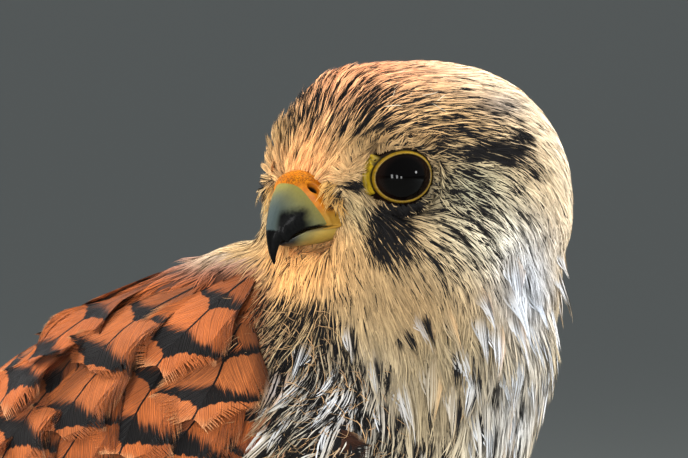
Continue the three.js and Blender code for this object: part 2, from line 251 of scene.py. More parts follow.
BODY_LIE = [
    ((118, 15, 165), (0, 0, -1)),
    ((126, 4, 163), (0.02, 0.1, -1)),
    ((119, 16, 147), (-0.05, 0, -1)),
    ((120, 0, 142), (-0.12, 0, -1)),
    ((112, 25, 135), (-0.3, 0, -0.95)),
    ((104, 0, 108), (-0.6, 0, -0.8)),
    ((90, 28, 105), (-0.6, 0, -0.8)),
    ((62, 0, 84), (-0.95, 0, -0.3)),
    ((20, 0, 68), (-0.92, 0, -0.4)),
    ((-12, 0, 66), (-0.9, 0, -0.45)),
    ((92, 22, 163), (-0.4, 0.3, -0.8)),
    ((74, 10, 168), (-0.55, 0.5, -0.4)),
    ((66, 21, 163), (-0.3, 0.5, -0.75)),
    ((57, 14, 164), (-0.45, 0.45, -0.6)),
    ((48, 17, 157), (-0.45, 0.35, -0.7)),
    ((80, 29, 155), (-0.2, 0.3, -0.9)),
    ((90, 33, 147), (-0.35, 0.2, -0.85)),
    ((64, 35, 143), (-0.22, 0.2, -0.92)),
    ((49, 31, 141), (-0.36, 0.15, -0.86)),
    ((103, 30, 146), (-0.5, 0.2, -0.8)),
    ((75, 0, 170), (-0.9, 0, -0.1)),
    ((45, 0, 160), (-0.88, 0, -0.4)),
    ((15, 0, 132), (-0.8, 0, -0.6)),
    ((-5, 0, 112), (-0.8, 0, -0.6)),
    ((25, 30, 125), (-0.8, 0.1, -0.6)),
    ((60, 42, 122), (-0.75, 0.05, -0.65)),
    ((95, 40, 125), (-0.7, 0.1, -0.75)),
    ((110, 34, 138), (-0.6, 0.25, -0.75)),
    ((30, 40, 105), (-0.87, 0, -0.5)),
    ((0, 30, 88), (-0.86, 0, -0.5)),
    ((-25, 20, 72), (-0.86, 0, -0.5)),
    ((75, 40, 92), (-0.88, 0, -0.4)),
    ((72, 38, 75), (-0.2, 0, -1)),
    ((78, 22, 60), (-0.15, 0, -1)),
    ((60, 22, 50), (-0.1, 0, -1)),
]


def on_both_sides(guides):
    places, ways = (np.array(part, float) for part in zip(*guides))
    other = np.array((1, -1, 1))
    return np.concatenate([places, places * other]), np.concatenate([ways, ways * other])


head_places, head_ways = on_both_sides(HEAD_LIE)
body_places, body_ways = on_both_sides(BODY_LIE)
GUIDE_PLACES = np.concatenate([from_head(head_places), body_places])
GUIDE_WAYS = np.concatenate([unit(head_ways) @ HEAD_AXES, unit(body_ways)])
GUIDE_BLUR = 3.0  # within this distance a guide counts no more for being nearer


def lie(places, normals):
    """The way the coat lies, along the skin: a mean of the guides, the nearest counting most"""
    apart = ((places[:, None] - GUIDE_PLACES[None]) ** 2).sum(2)
    way = (1 / (apart + GUIDE_BLUR**2) ** 2) @ GUIDE_WAYS
    return unit(way - normals * (way * normals).sum(1)[:, None])


def turned(ways, normals, angles):
    """The ways turned about the normals"""
    sideways = np.cross(normals, ways)
    return ways * np.cos(angles)[:, None] + sideways * np.sin(angles)[:, None]


# Meshes
def new_mesh(name, points, faces):
    """A mesh from places in millimetres and arrays of faces, one array for each number of corners"""
    mesh = bpy.data.meshes.new(name)
    faces = [f for f in faces if len(f)]
    corners = np.concatenate([f.ravel() for f in faces])
    sizes = np.concatenate([np.full(len(f), f.shape[1]) for f in faces])
    mesh.vertices.add(len(points))
    mesh.vertices.foreach_set("co", (np.asarray(points) * MM).astype(np.float32).ravel())
    mesh.loops.add(len(corners))
    mesh.loops.foreach_set("vertex_index", corners.astype(np.int32))
    mesh.polygons.add(len(sizes))
    mesh.polygons.foreach_set("loop_start", np.concatenate([[0], np.cumsum(sizes)[:-1]]).astype(np.int32))
    mesh.update(calc_edges=True)
    mesh.shade_smooth()
    return mesh


def tell(mesh, name, values):
    """Writes one value for each vertex, a number, a place or a colour, under a name"""
    values = np.asarray(values, np.float32)
    kind, key = ("FLOAT", "value") if values.ndim == 1 else ("FLOAT_VECTOR", "vector")
    mesh.attributes.new(name, kind, "POINT").data.foreach_set(key, values.ravel())


def piece(name, mesh, materials, slot, *replaced):
    """An object that rides on the part and takes the place of the replaced nodes. Its slot is not used."""
    made = bpy.data.objects.new(name, mesh)
    bpy.context.scene.collection.objects.link(made)
    for material in materials:
        mesh.materials.append(material)
    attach(made, "root")
    if replaced:
        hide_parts(*replaced)


def places_of(mesh):
    co = np.empty(len(mesh.vertices) * 3, np.float32)
    mesh.vertices.foreach_get("co", co)
    return co.reshape(-1, 3).astype(float) / MM


def normals_of(mesh):
    n = np.empty(len(mesh.vertices) * 3, np.float32)
    mesh.vertex_normals.foreach_get("vector", n)
    return n.reshape(-1, 3).astype(float)


def triangles_of(mesh):
    mesh.calc_loop_triangles()
    t = np.empty(len(mesh.loop_triangles) * 3, np.int32)
    mesh.loop_triangles.foreach_get("vertices", t)
    return t.reshape(-1, 3)


def loft(bm, rings, closed=True, all_round=True):
    """A surface over rings of places, each ring drawn out of the one before it. closed fills the two ends,
    and all_round joins the last place of a ring to its first."""
    first = [bm.verts.new(Vector(p) * MM) for p in rings[0]]
    edges = [bm.edges.new(pair) for pair in zip(first, first[1:] + first[: int(all_round)])]
    ends = [edges]
    for ring in rings[1:]:
        drawn = bmesh.ops.extrude_edge_only(bm, edges=edges)["geom"]
        for v, place in zip([g for g in drawn if isinstance(g, bmesh.types.BMVert)], ring):
            v.co = Vector(place) * MM
        edges = [g for g in drawn if isinstance(g, bmesh.types.BMEdge)]
    ends.append(edges)
    if closed:
        for end in ends:
            bmesh.ops.holes_fill(bm, edges=end, sides=0)
    return bm


def finished(bm, name):
    """The mesh of what bmesh has drawn, facing outwards and smooth"""
    bmesh.ops.recalc_face_normals(bm, faces=bm.faces)
    mesh = bpy.data.meshes.new(name)
    bm.to_mesh(mesh)
    bm.free()
    mesh.shade_smooth()
    return mesh


# Materials
class Wire:
    """One value on its way through a material, joined to others by plain arithmetic"""

    def __init__(self, tree, socket):
        self.tree, self.socket = tree, socket

    def through(self, operation, *others, clamp=False):
        node = self.tree.nodes.new("ShaderNodeMath")
        node.operation, node.use_clamp = operation, clamp
        for socket, value in zip(node.inputs, (self, *others)):
            feed(self.tree, socket, value)
        return Wire(self.tree, node.outputs[0])

    def __add__(self, other):
        return self.through("ADD", other)

    def __sub__(self, other):
        return self.through("SUBTRACT", other)

    def __mul__(self, other):
        return self.through("MULTIPLY", other)

    def __abs__(self):
        return self.through("ABSOLUTE")

    def __neg__(self):
        return self * -1.0

    def sine(self):
        return self.through("SINE")

    def most(self, other):
        return self.through("MAXIMUM", other)

    def power(self, other):
        return self.through("POWER", other)

    def ramp(self, low, high):
        """0 below low, 1 above high, and smooth between. With low above high it falls instead."""
        node = self.tree.nodes.new("ShaderNodeMapRange")
        node.interpolation_type = "SMOOTHSTEP"
        for name, value in {"Value": self, "From Min": low, "From Max": high}.items():
            feed(self.tree, node.inputs[name], value)
        return Wire(self.tree, node.outputs["Result"])


def feed(tree, socket, value):
    """Joins a wire to a socket, or sets a plain number or colour on it"""
    if isinstance(value, Wire):
        tree.links.new(value.socket, socket)
    elif hasattr(value, "__len__") and len(socket.default_value) == 4:
        socket.default_value = (*value, 1)
    else:
        socket.default_value = value


def attribute(tree, name, output="Fac"):
    node = tree.nodes.new("ShaderNodeAttribute")
    node.attribute_name = name
    return Wire(tree, node.outputs[output])


def parts_of(tree, vector):
    node = tree.nodes.new("ShaderNodeSeparateXYZ")
    feed(tree, node.inputs[0], vector)
    return [Wire(tree, output) for output in node.outputs]


def vector_of(tree, x, y, z=0.0):
    node = tree.nodes.new("ShaderNodeCombineXYZ")
    for socket, value in zip(node.inputs, (x, y, z)):
        feed(tree, socket, value)
    return Wire(tree, node.outputs[0])


def place_in(tree):
    return Wire(tree, tree.nodes.new("ShaderNodeTexCoord").outputs["Object"])


def noise(tree, vector, scale, detail=2.0):
    node = tree.nodes.new("ShaderNodeTexNoise")
    feed(tree, node.inputs["Vector"], vector)
    node.inputs["Scale"].default_value = scale
    node.inputs["Detail"].default_value = detail
    return Wire(tree, node.outputs["Fac"])


def cells(tree, vector, scale):
    node = tree.nodes.new("ShaderNodeTexVoronoi")
    feed(tree, node.inputs["Vector"], vector)
    node.inputs["Scale"].default_value = scale
    return Wire(tree, node.outputs["Distance"])


def mix(tree, share, first, second, how="MIX"):
    node = tree.nodes.new("ShaderNodeMix")
    node.data_type, node.blend_type = "RGBA", how
    feed(tree, node.inputs["Factor"], share)
    colours = [s for s in node.inputs if s.type == "RGBA"]
    feed(tree, colours[0], first)
    feed(tree, colours[1], second)
    return Wire(tree, next(s for s in node.outputs if s.type == "RGBA"))


def bump(tree, height, distance, strength=1.0):
    node = tree.nodes.new("ShaderNodeBump")
    node.inputs["Distance"].default_value = distance * MM
    node.inputs["Strength"].default_value = strength
    feed(tree, node.inputs["Height"], height)
    return Wire(tree, node.outputs[0])


def material(name, colour, roughness, normal=None, **plain):
    """colour, roughness and normal take the tree and return what is joined; the rest are plain numbers"""
    made = bpy.data.materials.new(name)
    made.use_nodes = True
    tree = made.node_tree
    shader = tree.nodes["Principled BSDF"]
    feed(tree, shader.inputs["Base Color"], colour(tree))
    feed(tree, shader.inputs["Roughness"], roughness(tree) if callable(roughness) else roughness)
    if normal:
        tree.links.new(normal(tree).socket, shader.inputs["Normal"])
    for socket, value in plain.items():
        feed(tree, shader.inputs[socket.replace("_", " ")], value)
    return made


def group(name, inputs, outputs):
    """An effect that several materials share. inputs gives each one's kind."""
    made = bpy.data.node_groups.new(name, "ShaderNodeTree")
    for socket, kind in inputs.items():
        made.interface.new_socket(socket, in_out="INPUT", socket_type=kind)
    for socket, kind in outputs.items():
        made.interface.new_socket(socket, in_out="OUTPUT", socket_type=kind)
    entry, leave = made.nodes.new("NodeGroupInput"), made.nodes.new("NodeGroupOutput")
    return made, [Wire(made, entry.outputs[s]) for s in inputs], [leave.inputs[s] for s in outputs]


def use(tree, shared, output, **values):
    """One output of a shared effect, with these values on its inputs"""
    node = tree.nodes.new("ShaderNodeGroup")
    node.node_tree = shared
    for socket, value in values.items():
        feed(tree, node.inputs[socket], value)
    return Wire(tree, node.outputs[output])


NUMBER, VECTOR, COLOUR = "NodeSocketFloat", "NodeSocketVector", "NodeSocketColor"


def feather_tone_group():
    """Ground colour darkened by marks, with each feather's own tone and a soft mottle over the body"""
    made, (ground, marks, vane), (colour,) = group(
        "feather_tone", {"Ground": COLOUR, "Marks": NUMBER, "Vane": VECTOR}, {"Colour": COLOUR}
    )
    own = parts_of(made, vane)[2]
    place = place_in(made)
    mottle = noise(made, place, 260) * 0.35 + noise(made, place, 1500, 1.0) * 0.25
    light = own * 0.3 + mottle + 0.58
    toned = mix(made, 1.0, ground, vector_of(made, light, light, light), "MULTIPLY")
    uneven = noise(made, place, 900, 1.0) * 0.5 - 0.25
    dark = (marks + uneven * marks).ramp(0.15, 0.75)
    made.links.new(mix(made, dark, toned, DARK).socket, colour)
    return made


def barbs_group():
    """Fine lines of the barbs, which leave the shaft aslant, as a shade from 0 to 1"""
    made, (vane, count, slant), (lines,) = group(
        "barbs", {"Vane": VECTOR, "Count": NUMBER, "Slant": NUMBER}, {"Lines": NUMBER}
    )
    sideways, along, own = parts_of(made, vane)
    aslant = along - abs(sideways) * slant
    uneven = noise(made, vector_of(made, sideways * 1.5, aslant * 30.0, own * 40.0), 1.0) * 3.0
    wave = ((aslant * count + uneven) * (2 * math.pi)).sine()
    made.links.new((wave * 0.5 + 0.5).socket, lines)
    return made


TONE, BARBS = feather_tone_group(), barbs_group()


# On each vertex of a feather: ground, the colour of the plumage there; marks, how dark it is marked; and
# vane, how far across the feather from -1 to 1, how far along from 0 to 1, and a random number of its own
def soft_colour(tree):
    ground, marks = attribute(tree, "ground", "Color"), attribute(tree, "marks")
    return use(tree, TONE, "Colour", Ground=ground, Marks=marks, Vane=attribute(tree, "vane", "Vector"))


def soft_feathers(name):
    return material(name, soft_colour, 0.75, Sheen_Weight=0.06, Sheen_Roughness=0.4, Specular_IOR_Level=0.25)


def barred(count, slant, bars, point, fringe, edge_at, shaft=0.05, fade=0.05, rise=0.6, thin=0.38):
    """Colour of a firm feather: bars, each (how far along, how thick), drawn to a point on the shaft.
    A bar fades in over the length fade, rises at the shaft and gets thin to the sides. fringe and edge_at
    say where the feather turns pale, along it and across it."""

    def colour(tree):
        vane = attribute(tree, "vane", "Vector")
        across, along, own = parts_of(tree, vane)
        side = abs(across)
        barb = along - side * slant
        ragged = noise(tree, vector_of(tree, across * 2.0, barb * 9.0, own * 30.0), 1.6) - 0.5
        fine = noise(tree, vector_of(tree, across * 0.6, barb * count, own * 60.0), 1.3) - 0.5
        along = along + (own - 0.5) * 0.06 + ragged * 0.07
        marks = side * 0.0
        for at, thick in bars:
            below = (side * -5.0).through("EXPONENT") * point + (at + thick * 0.5)
            below = below - side * side * (thick * 0.3)
            above = (side * -2.5).through("EXPONENT") * (-thick * rise) + (at - thick * 0.4)
            above = above + side * (thick * thin)
            begun = (along + fine * (fade * 1.6) - above).ramp(-0.03, fade)
            marks = marks.most(begun * (below - along - fine * 0.03).ramp(-0.01, 0.014))
        marks = marks * attribute(tree, "marks")
        marks = marks.most(side.ramp(shaft * 1.6, shaft * 0.5) * 0.95)
        pale = along.ramp(*fringe).most(side.ramp(*edge_at) * 0.8) * 0.6
        ground = mix(tree, pale, attribute(tree, "ground", "Color"), BUFF)
        lines = use(tree, BARBS, "Lines", Vane=vane, Count=count, Slant=slant)
        ground = mix(tree, lines.power(1.5) * 0.75, ground, BROWN)
        return use(tree, TONE, "Colour", Ground=ground, Marks=marks, Vane=vane)

    return colour


def firm_feathers(name, count, slant, **pattern):
    """count is the number of barbs that show along a feather, and slant how steeply they leave the shaft"""

    def relief(tree):
        lines = use(tree, BARBS, "Lines", Vane=attribute(tree, "vane", "Vector"), Count=count, Slant=slant)
        return bump(tree, lines, 0.12, 0.6)

    return material(name, barred(count, slant, **pattern), 0.65, relief, Sheen_Weight=0.05,
                    Sheen_Roughness=0.4, Specular_IOR_Level=0.3)


# The skin: one surface under the whole coat
FLESH = ["head", "neck", "trunk", "wing_left", "wing_right"]
FLESH += [part + "_" + side for part in ("thigh", "tarsus") for side in SIDES]
FLESH += ["toe_" + toe + "_" + side for toe in ("hind", "inner", "middle", "outer") for side in SIDES]


SEAM_BLEND = 12  # how many rounds of blending soften the change from one part to the next


def joined_flesh():
    """The nodes of flesh in one bmesh, grown until they meet, and which sort of part each face is of"""
    whole, sorts = bmesh.new(), []
    for node in FLESH:
        part = bmesh.new()
        part.from_mesh(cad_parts[node].data)
        bmesh.ops.remove_doubles(part, verts=part.verts, dist=0.002 * MM)
        part.normal_update()
        for v in part.verts:
            v.co += v.normal * PARTING * MM
        flesh = bpy.data.meshes.new("flesh")
        part.to_mesh(flesh)
        part.free()
        sorts += [node.split("_")[0]] * len(flesh.polygons)
        whole.from_mesh(flesh)
        bpy.data.meshes.remove(flesh)
    return whole, sorts


def remeshed(bm):
    """One even surface round all that a bmesh holds"""
    rough = bpy.data.meshes.new("rough")
    bm.to_mesh(rough)
    holder = bpy.data.objects.new("rough", rough)
    bpy.context.scene.collection.objects.link(holder)
    remesh = holder.modifiers.new("grain", "REMESH")
    remesh.mode, remesh.voxel_size = "VOXEL", SKIN_GRAIN * MM
    graph = bpy.context.evaluated_depsgraph_get()
    mesh = bpy.data.meshes.new_from_object(holder.evaluated_get(graph))
    bpy.data.objects.remove(holder)
    return mesh


class Skin:
    """The flesh joined into one surface and drawn in by the depth of its coat"""

    def __init__(self):
        whole, sorts = joined_flesh()
        flesh_tree = BVHTree.FromBMesh(whole)
        self.mesh = remeshed(whole)
        whole.free()
        self.edges = np.empty(len(self.mesh.edges) * 2, np.int32)
        self.mesh.edges.foreach_get("vertices", self.edges)
        self.edges = self.edges.reshape(-1, 2)
        places = places_of(self.mesh)
        sort = np.array([sorts[flesh_tree.find_nearest(Vector(p) * MM)[2]] for p in places])
        self.belongs = {part: self.softened((sort == part).astype(float), SEAM_BLEND) for part in COAT_DEPTH}
        for _ in range(3):
            places = places + (self.softened(places, 1) - places) * 0.6
        self.set_places(places)
        depth = sum(self.belongs[part] * COAT_DEPTH[part] for part in COAT_DEPTH)
        self.set_places(self.softened(places - normals_of(self.mesh) * depth[:, None], 1))
        self.places, self.normals = places_of(self.mesh), normals_of(self.mesh)
        self.triangles = triangles_of(self.mesh)
        a, b, c = (self.places[self.triangles[:, i]] for i in range(3))
        self.areas = np.linalg.norm(np.cross(b - a, c - a), axis=1) / 2
        self.middles = (a + b + c) / 3
        self.tree = BVHTree.FromPolygons(self.places.tolist(), self.triangles.tolist())

    def softened(self, values, times):
        """Values at the vertices, each blended with its neighbours'"""
        first, second = self.edges.T
        count = len(self.mesh.vertices)
        degree = np.bincount(first, minlength=count) + np.bincount(second, minlength=count)
        flat = values.reshape(count, -1)
        for _ in range(times):
            sums = [
                np.bincount(first, column[second], count) + np.bincount(second, column[first], count)
                for column in flat.T
            ]
            flat = 0.4 * flat + 0.6 * np.array(sums).T / np.maximum(degree, 1)[:, None]
        return flat.reshape(values.shape)

    def set_places(self, places):
        self.mesh.vertices.foreach_set("co", (places * MM).astype(np.float32).ravel())
        self.mesh.update()

    def at_triangles(self, values):
        return values[self.triangles].mean(1)

    def nearest(self, places):
        """The nearest places on the skin, and the smooth normals there"""
        found = [self.tree.find_nearest(p) for p in places.tolist()]
        index = np.array([f[2] for f in found])
        return np.array([f[0][:] for f in found]), unit(self.normals[self.triangles[index]].mean(1))


UNWRAP_ANGLE = math.radians(66)


class Roots:
    """Where feathers grow: places on the skin, their normals and what is known of the skin there"""

    def __init__(self, weight, count, gap=0):
        """weight says for each of the skin's triangles how thickly it is covered, count is how many places
        are tried, and gap is the least distance between two"""
        chance = np.clip(weight, 0, None) * skin.areas
        self.region = np.flatnonzero(weight > 0.02)
        picked = random.choice(len(chance), count, p=chance / chance.sum())
        first, second = random.random((2, count))
        over = first + second > 1
        first[over], second[over] = 1 - first[over], 1 - second[over]
        self.triangle, self.shares = picked, np.stack([1 - first - second, first, second], 1)
        self.place, self.normal = self.blend(skin.places), unit(self.blend(skin.normals))
        if gap:
            self.keep(spaced(self.place, gap))

    def blend(self, values):
        """What is known at the skin's vertices, at the roots"""
        parts = values[skin.triangles[self.triangle]]
        shares = self.shares if parts.ndim == 2 else self.shares[:, :, None]
        return (parts * shares).sum(1)

    def keep(self, which):
        self.triangle, self.shares = self.triangle[which], self.shares[which]
        self.place, self.normal = self.place[which], self.normal[which]

    def on_map(self):
        """Each root's place on an unwrap of its own part of the skin"""
        used = skin.triangles[self.region]
        numbers, corners = np.unique(used, return_inverse=True)
        flat = new_mesh("flat", skin.places[numbers], [corners.reshape(-1, 3)])
        holder = bpy.data.objects.new("flat", flat)
        bpy.context.scene.collection.objects.link(holder)
        bpy.context.view_layer.objects.active = holder
        holder.select_set(True)
        bpy.ops.object.mode_set(mode="EDIT")
        bpy.ops.mesh.select_all(action="SELECT")
        bpy.ops.uv.smart_project(angle_limit=UNWRAP_ANGLE, island_margin=0.004)
        bpy.ops.object.mode_set(mode="OBJECT")
        uv = np.empty(len(flat.loops) * 2, np.float32)
        flat.uv_layers[0].uv.foreach_get("vector", uv)
        uv = uv.reshape(-1, 3, 2)
        bpy.data.objects.remove(holder)
        row = np.zeros(len(skin.triangles), int)
        row[self.region] = np.arange(len(self.region))
        return (uv[row[self.triangle]] * self.shares[:, :, None]).sum(1)


class Planted(Roots):
    """Feathers' roots at chosen places"""

    def __init__(self, places):
        found = [skin.tree.find_nearest(p) for p in places.tolist()]
        self.triangle = np.array([f[2] for f in found])
        self.shares = np.full((len(found), 3), 1 / 3)
        self.place = np.array([f[0][:] for f in found])
        self.normal = unit(self.blend(skin.normals))


# Where the next feathers of a brickwork lie: how many gaps aside and along
NEXT_BRICKS = ((1, 0), (-1, 0), (0.5, 1), (-0.5, 1), (0.5, -1), (-0.5, -1))
BRICK_APART, FILLER_APART = 0.8, 0.88  # least distance to another, in gaps
FILLERS = 1500  # how many places are tried for what the rows leave open
ROW_COVER = 0.35  # the rows end where the skin is covered less than this


def in_rows(weight, start, gaps_at):
    """Roots that spread over the skin from a first one in rows along the lie of the coat, like laid bricks.
    gaps_at gives how far they lie apart across and along the rows. Others fill what the rows leave open."""
    placed, waiting = [], [np.asarray(start, float)]
    others = list(Roots(weight, FILLERS).place)
    while waiting or others:
        growing = len(waiting) > 0
        place, normal = skin.nearest((waiting if growing else others).pop(0)[None])
        if weight[skin.tree.find_nearest(place[0].tolist())[2]] < ROW_COVER:
            continue
        way = lie(place, normal)[0]
        wide, long = gaps_at(place)
        if placed:
            apart = np.array(placed) - place
            along = apart @ way
            aside = np.linalg.norm(apart - along[:, None] * way, axis=1)
            least = BRICK_APART if growing else FILLER_APART
            if np.hypot(aside / wide, along / long).min() < least:
                continue
        placed.append(place[0])
        side = np.cross(normal[0], way)
        if growing:
            waiting += [place[0] + side * aside * wide + way * along * long for aside, along in NEXT_BRICKS]
    return Planted(np.array(placed))


def spaced(places, gap):
    """Numbers of the places that keep a gap between them"""
    taken, kept = {}, []
    around = [(i, j, k) for i in (-1, 0, 1) for j in (-1, 0, 1) for k in (-1, 0, 1)]
    cell = np.floor(places / gap).astype(int)
    for number, (place, (x, y, z)) in enumerate(zip(places.tolist(), cell.tolist())):
        near = (taken.get((x + i, y + j, z + k)) for i, j, k in around)
        if all(p is None or math.dist(p, place) >= gap for p in near):
            taken[(x, y, z)] = place
            kept.append(number)
    return np.array(kept)


BODY_END = (-27, -13)  # past this x the feathers run on straight over the tail


def trace(places, normals, lengths, steps, turn, cling=1.0):
    """The way each feather takes from its root with the lie of the coat, as places and normals. It leaves
    the skin the sooner, the further cling is below 1."""
    path, ups = [places], [normals]
    heading = turned(lie(places, normals), normals, turn)
    for step in range(steps):
        aimed = path[-1] + heading * (lengths / steps)[:, None]
        on_skin, normal = skin.nearest(aimed)
        hold = (cling ** (step + 1) * ramp(*BODY_END, aimed[:, 0]))[:, None]
        path.append(aimed + (on_skin - aimed) * hold)
        ups.append(unit(normal * hold + ups[-1] * (1 - hold)))
        onward = turned(lie(path[-1], ups[-1]), ups[-1], turn)
        heading = unit(heading + onward * hold)
        heading = unit(heading - ups[-1] * (heading * ups[-1]).sum(1)[:, None] * hold)
    return np.stack(path, 1), np.stack(ups, 1)


class Sheaf:
    """The blades of one feather laid flat: across and along it in millimetres, and raised off it. Each vertex
    also has a lane, the place across the feather where its blade grows."""

    def __init__(self, width, length):
        self.half, self.length = width / 2, length
        self.points, self.lanes, self.quads, self.ends = [], [], [], []

    def blade(self, path, widths, lane, raised=0.0, tilt=0.0):
        """A flat strip along a path, which ends in a point"""
        path = np.array(path, float)
        way = unit(np.gradient(path, axis=0))
        side = np.stack([way[:, 1], -way[:, 0]], 1) * np.array(widths)[:, None] / 2
        rows = np.stack([path[:-1] + side[:-1], path[:-1] - side[:-1]], 1).reshape(-1, 2)
        heights = np.tile([raised + tilt, raised - tilt], len(path) - 1)
        start = sum(len(p) for p in self.points)
        for i in range(len(path) - 2):
            a = start + 2 * i
            self.quads.append((a, a + 1, a + 3, a + 2))
        last = start + 2 * (len(path) - 2)
        self.ends.append((last, last + 1, last + 2))
        rows = np.concatenate([rows, path[-1:]])
        heights = np.append(heights, raised)
        self.points.append(np.column_stack([rows, heights]))
        self.lanes.append(np.full(len(rows), lane))

    def web(self, grid, lanes):
        """A closed vane over a grid of places, (rows, columns, across and along)"""
        rows, columns = grid.shape[:2]
        start = sum(len(p) for p in self.points)
        for i in range(rows - 1):
            for j in range(columns - 1):
                a = start + i * columns + j
                self.quads.append((a, a + 1, a + columns + 1, a + columns))
        self.points.append(np.column_stack([grid.reshape(-1, 2), np.zeros(rows * columns)]))
        self.lanes.append(np.tile(lanes, rows))

    def done(self):
        points = np.concatenate(self.points)
        self.u, self.v = points[:, 0] / self.half, np.clip(points[:, 1] / self.length, 0, 1.15)
        self.raised, self.lane = points[:, 2], np.concatenate(self.lanes)
        self.quads, self.ends = np.array(self.quads).reshape(-1, 4), np.array(self.ends)
        return self


def lagrange(nodes, v):
    """How much of each node of a path makes up the place v of the way along it"""
    at = np.linspace(0, 1, nodes)
    made = np.ones((len(v), nodes))
    for i in range(nodes):
        for j in range(nodes):
            if i != j:
                made[:, i] *= (v - at[j]) / (at[i] - at[j])
    return made


class Coat:
    """Feathers laid along their paths, gathered into one mesh"""

    def __init__(self):
        self.parts = []

    def lay(self, sheaf, path, ups, width, lift, camber=0.0, bow=0.0, roll=0.0, rise=1.0, **facts):
        """One sheaf along each path. width is in millimetres, lift is how far the tip stands off the path,
        and the greater rise is, the sooner it gets there. camber arches a feather over its width, bow bends
        it sideways and roll tips it over."""
        basis = lagrange(path.shape[1], sheaf.v)
        slope = lagrange(path.shape[1], sheaf.v + 0.02) - lagrange(path.shape[1], sheaf.v - 0.02)
        along = np.einsum("mk,nkc->nmc", basis, path)
        way = unit(np.einsum("mk,nkc->nmc", slope, path))
        up = unit(np.einsum("mk,nkc->nmc", lagrange(ups.shape[1], np.clip(sheaf.v, 0, 1)), ups))
        side = unit(np.cross(way, up))
        up = np.cross(side, way)
        half = np.broadcast_to(np.asarray(width, float), len(path))[:, None] / 2
        lift = np.broadcast_to(np.asarray(lift, float), len(path))[:, None]
        bow = np.broadcast_to(np.asarray(bow, float), len(path))[:, None]
        height = lift * (1 - (1 - np.clip(sheaf.v, 0, 1)) ** rise) + sheaf.raised
        height = height - camber * half * sheaf.u**2 + roll * half * sheaf.u
        sideways = sheaf.u * half + bow * half * sheaf.v**2
        points = along + side * sideways[..., None] + up * height[..., None]
        self.parts.append((sheaf, points, facts))

    def made(self, name, finish, slot, pattern, replaced=()):
        """pattern takes the feathers' facts and gives ground colours and marks for each vertex"""
        points, quads, ends, told, maps, start = [], [], [], {}, [], 0
        for sheaf, places, facts in self.parts:
            count, size = places.shape[:2]
            offsets = start + np.arange(count)[:, None, None] * size
            quads.append((sheaf.quads[None] + offsets).reshape(-1, 4))
            ends.append((sheaf.ends[None] + offsets).reshape(-1, 3))
            points.append(places.reshape(-1, 3))
            start += count * size
            own = np.broadcast_to(facts["own"][:, None], (count, size))
            u, v = np.broadcast_to(sheaf.u, (count, size)), np.broadcast_to(sheaf.v, (count, size))
            lane = np.broadcast_to(sheaf.lane, (count, size))
            ground, marks = pattern(facts, u, v, lane, places)
            told.setdefault("ground", []).append(ground.reshape(-1, 3))
            told.setdefault("marks", []).append(marks.reshape(-1))
            told.setdefault("vane", []).append(np.stack([u, v, own], -1).reshape(-1, 3))
            corner, reach = facts["map"], facts["patch"]
            spread = np.stack([np.clip(u, -1, 1) * 0.5, np.clip(v, 0, 1) - 0.5], -1) * reach
            maps.append((corner[:, None] + spread).reshape(-1, 2))
        mesh = new_mesh(name, np.concatenate(points), [np.concatenate(quads), np.concatenate(ends)])
        for key, values in told.items():
            tell(mesh, key, np.concatenate(values))
        corners = np.empty(len(mesh.loops), np.int32)
        mesh.loops.foreach_get("vertex_index", corners)
        layer = mesh.uv_layers.new(name="OFBake")
        layer.uv.foreach_set("vector", np.concatenate(maps)[corners].astype(np.float32).ravel())
        piece(name, mesh, [finish], slot, *replaced)


def tuft(strands, width, length, strand_width, spread=1.3, loose=0.25, wave=0.0, rows=3, late=0.12):
    """A soft feather: strands that leave its root and part towards their tips, the sooner the less spread"""
    made = Sheaf(width, length)
    lanes = np.linspace(-1, 1, strands) if strands > 1 else [0.0]
    steps = np.linspace(0, 1, rows + 1)
    for lane in lanes:
        lane = lane + random.uniform(-0.12, 0.12)
        reach = length * (1 - 0.25 * lane**2) * random.uniform(0.8, 1.05)
        begin = random.uniform(0, late) * length
        apart = (lane * 0.65 + random.uniform(-loose, loose)) * made.half
        phase = random.uniform(0, 2 * math.pi)
        swing = wave * made.half * np.sin(steps * 5 + phase) * steps
        sideways = lane * made.half * 0.25 + apart * steps**spread + swing
        path = np.column_stack([sideways, begin + (reach - begin) * steps])
        widths = (0.75 + 0.5 * np.sin(steps * math.pi)) * strand_width
        made.blade(path, widths, lane, random.uniform(-0.12, 0.2), random.uniform(-0.05, 0.05))
    return made.done()


FRINGE_END = 1.08  # how far out the fringe of a web reaches, in half widths


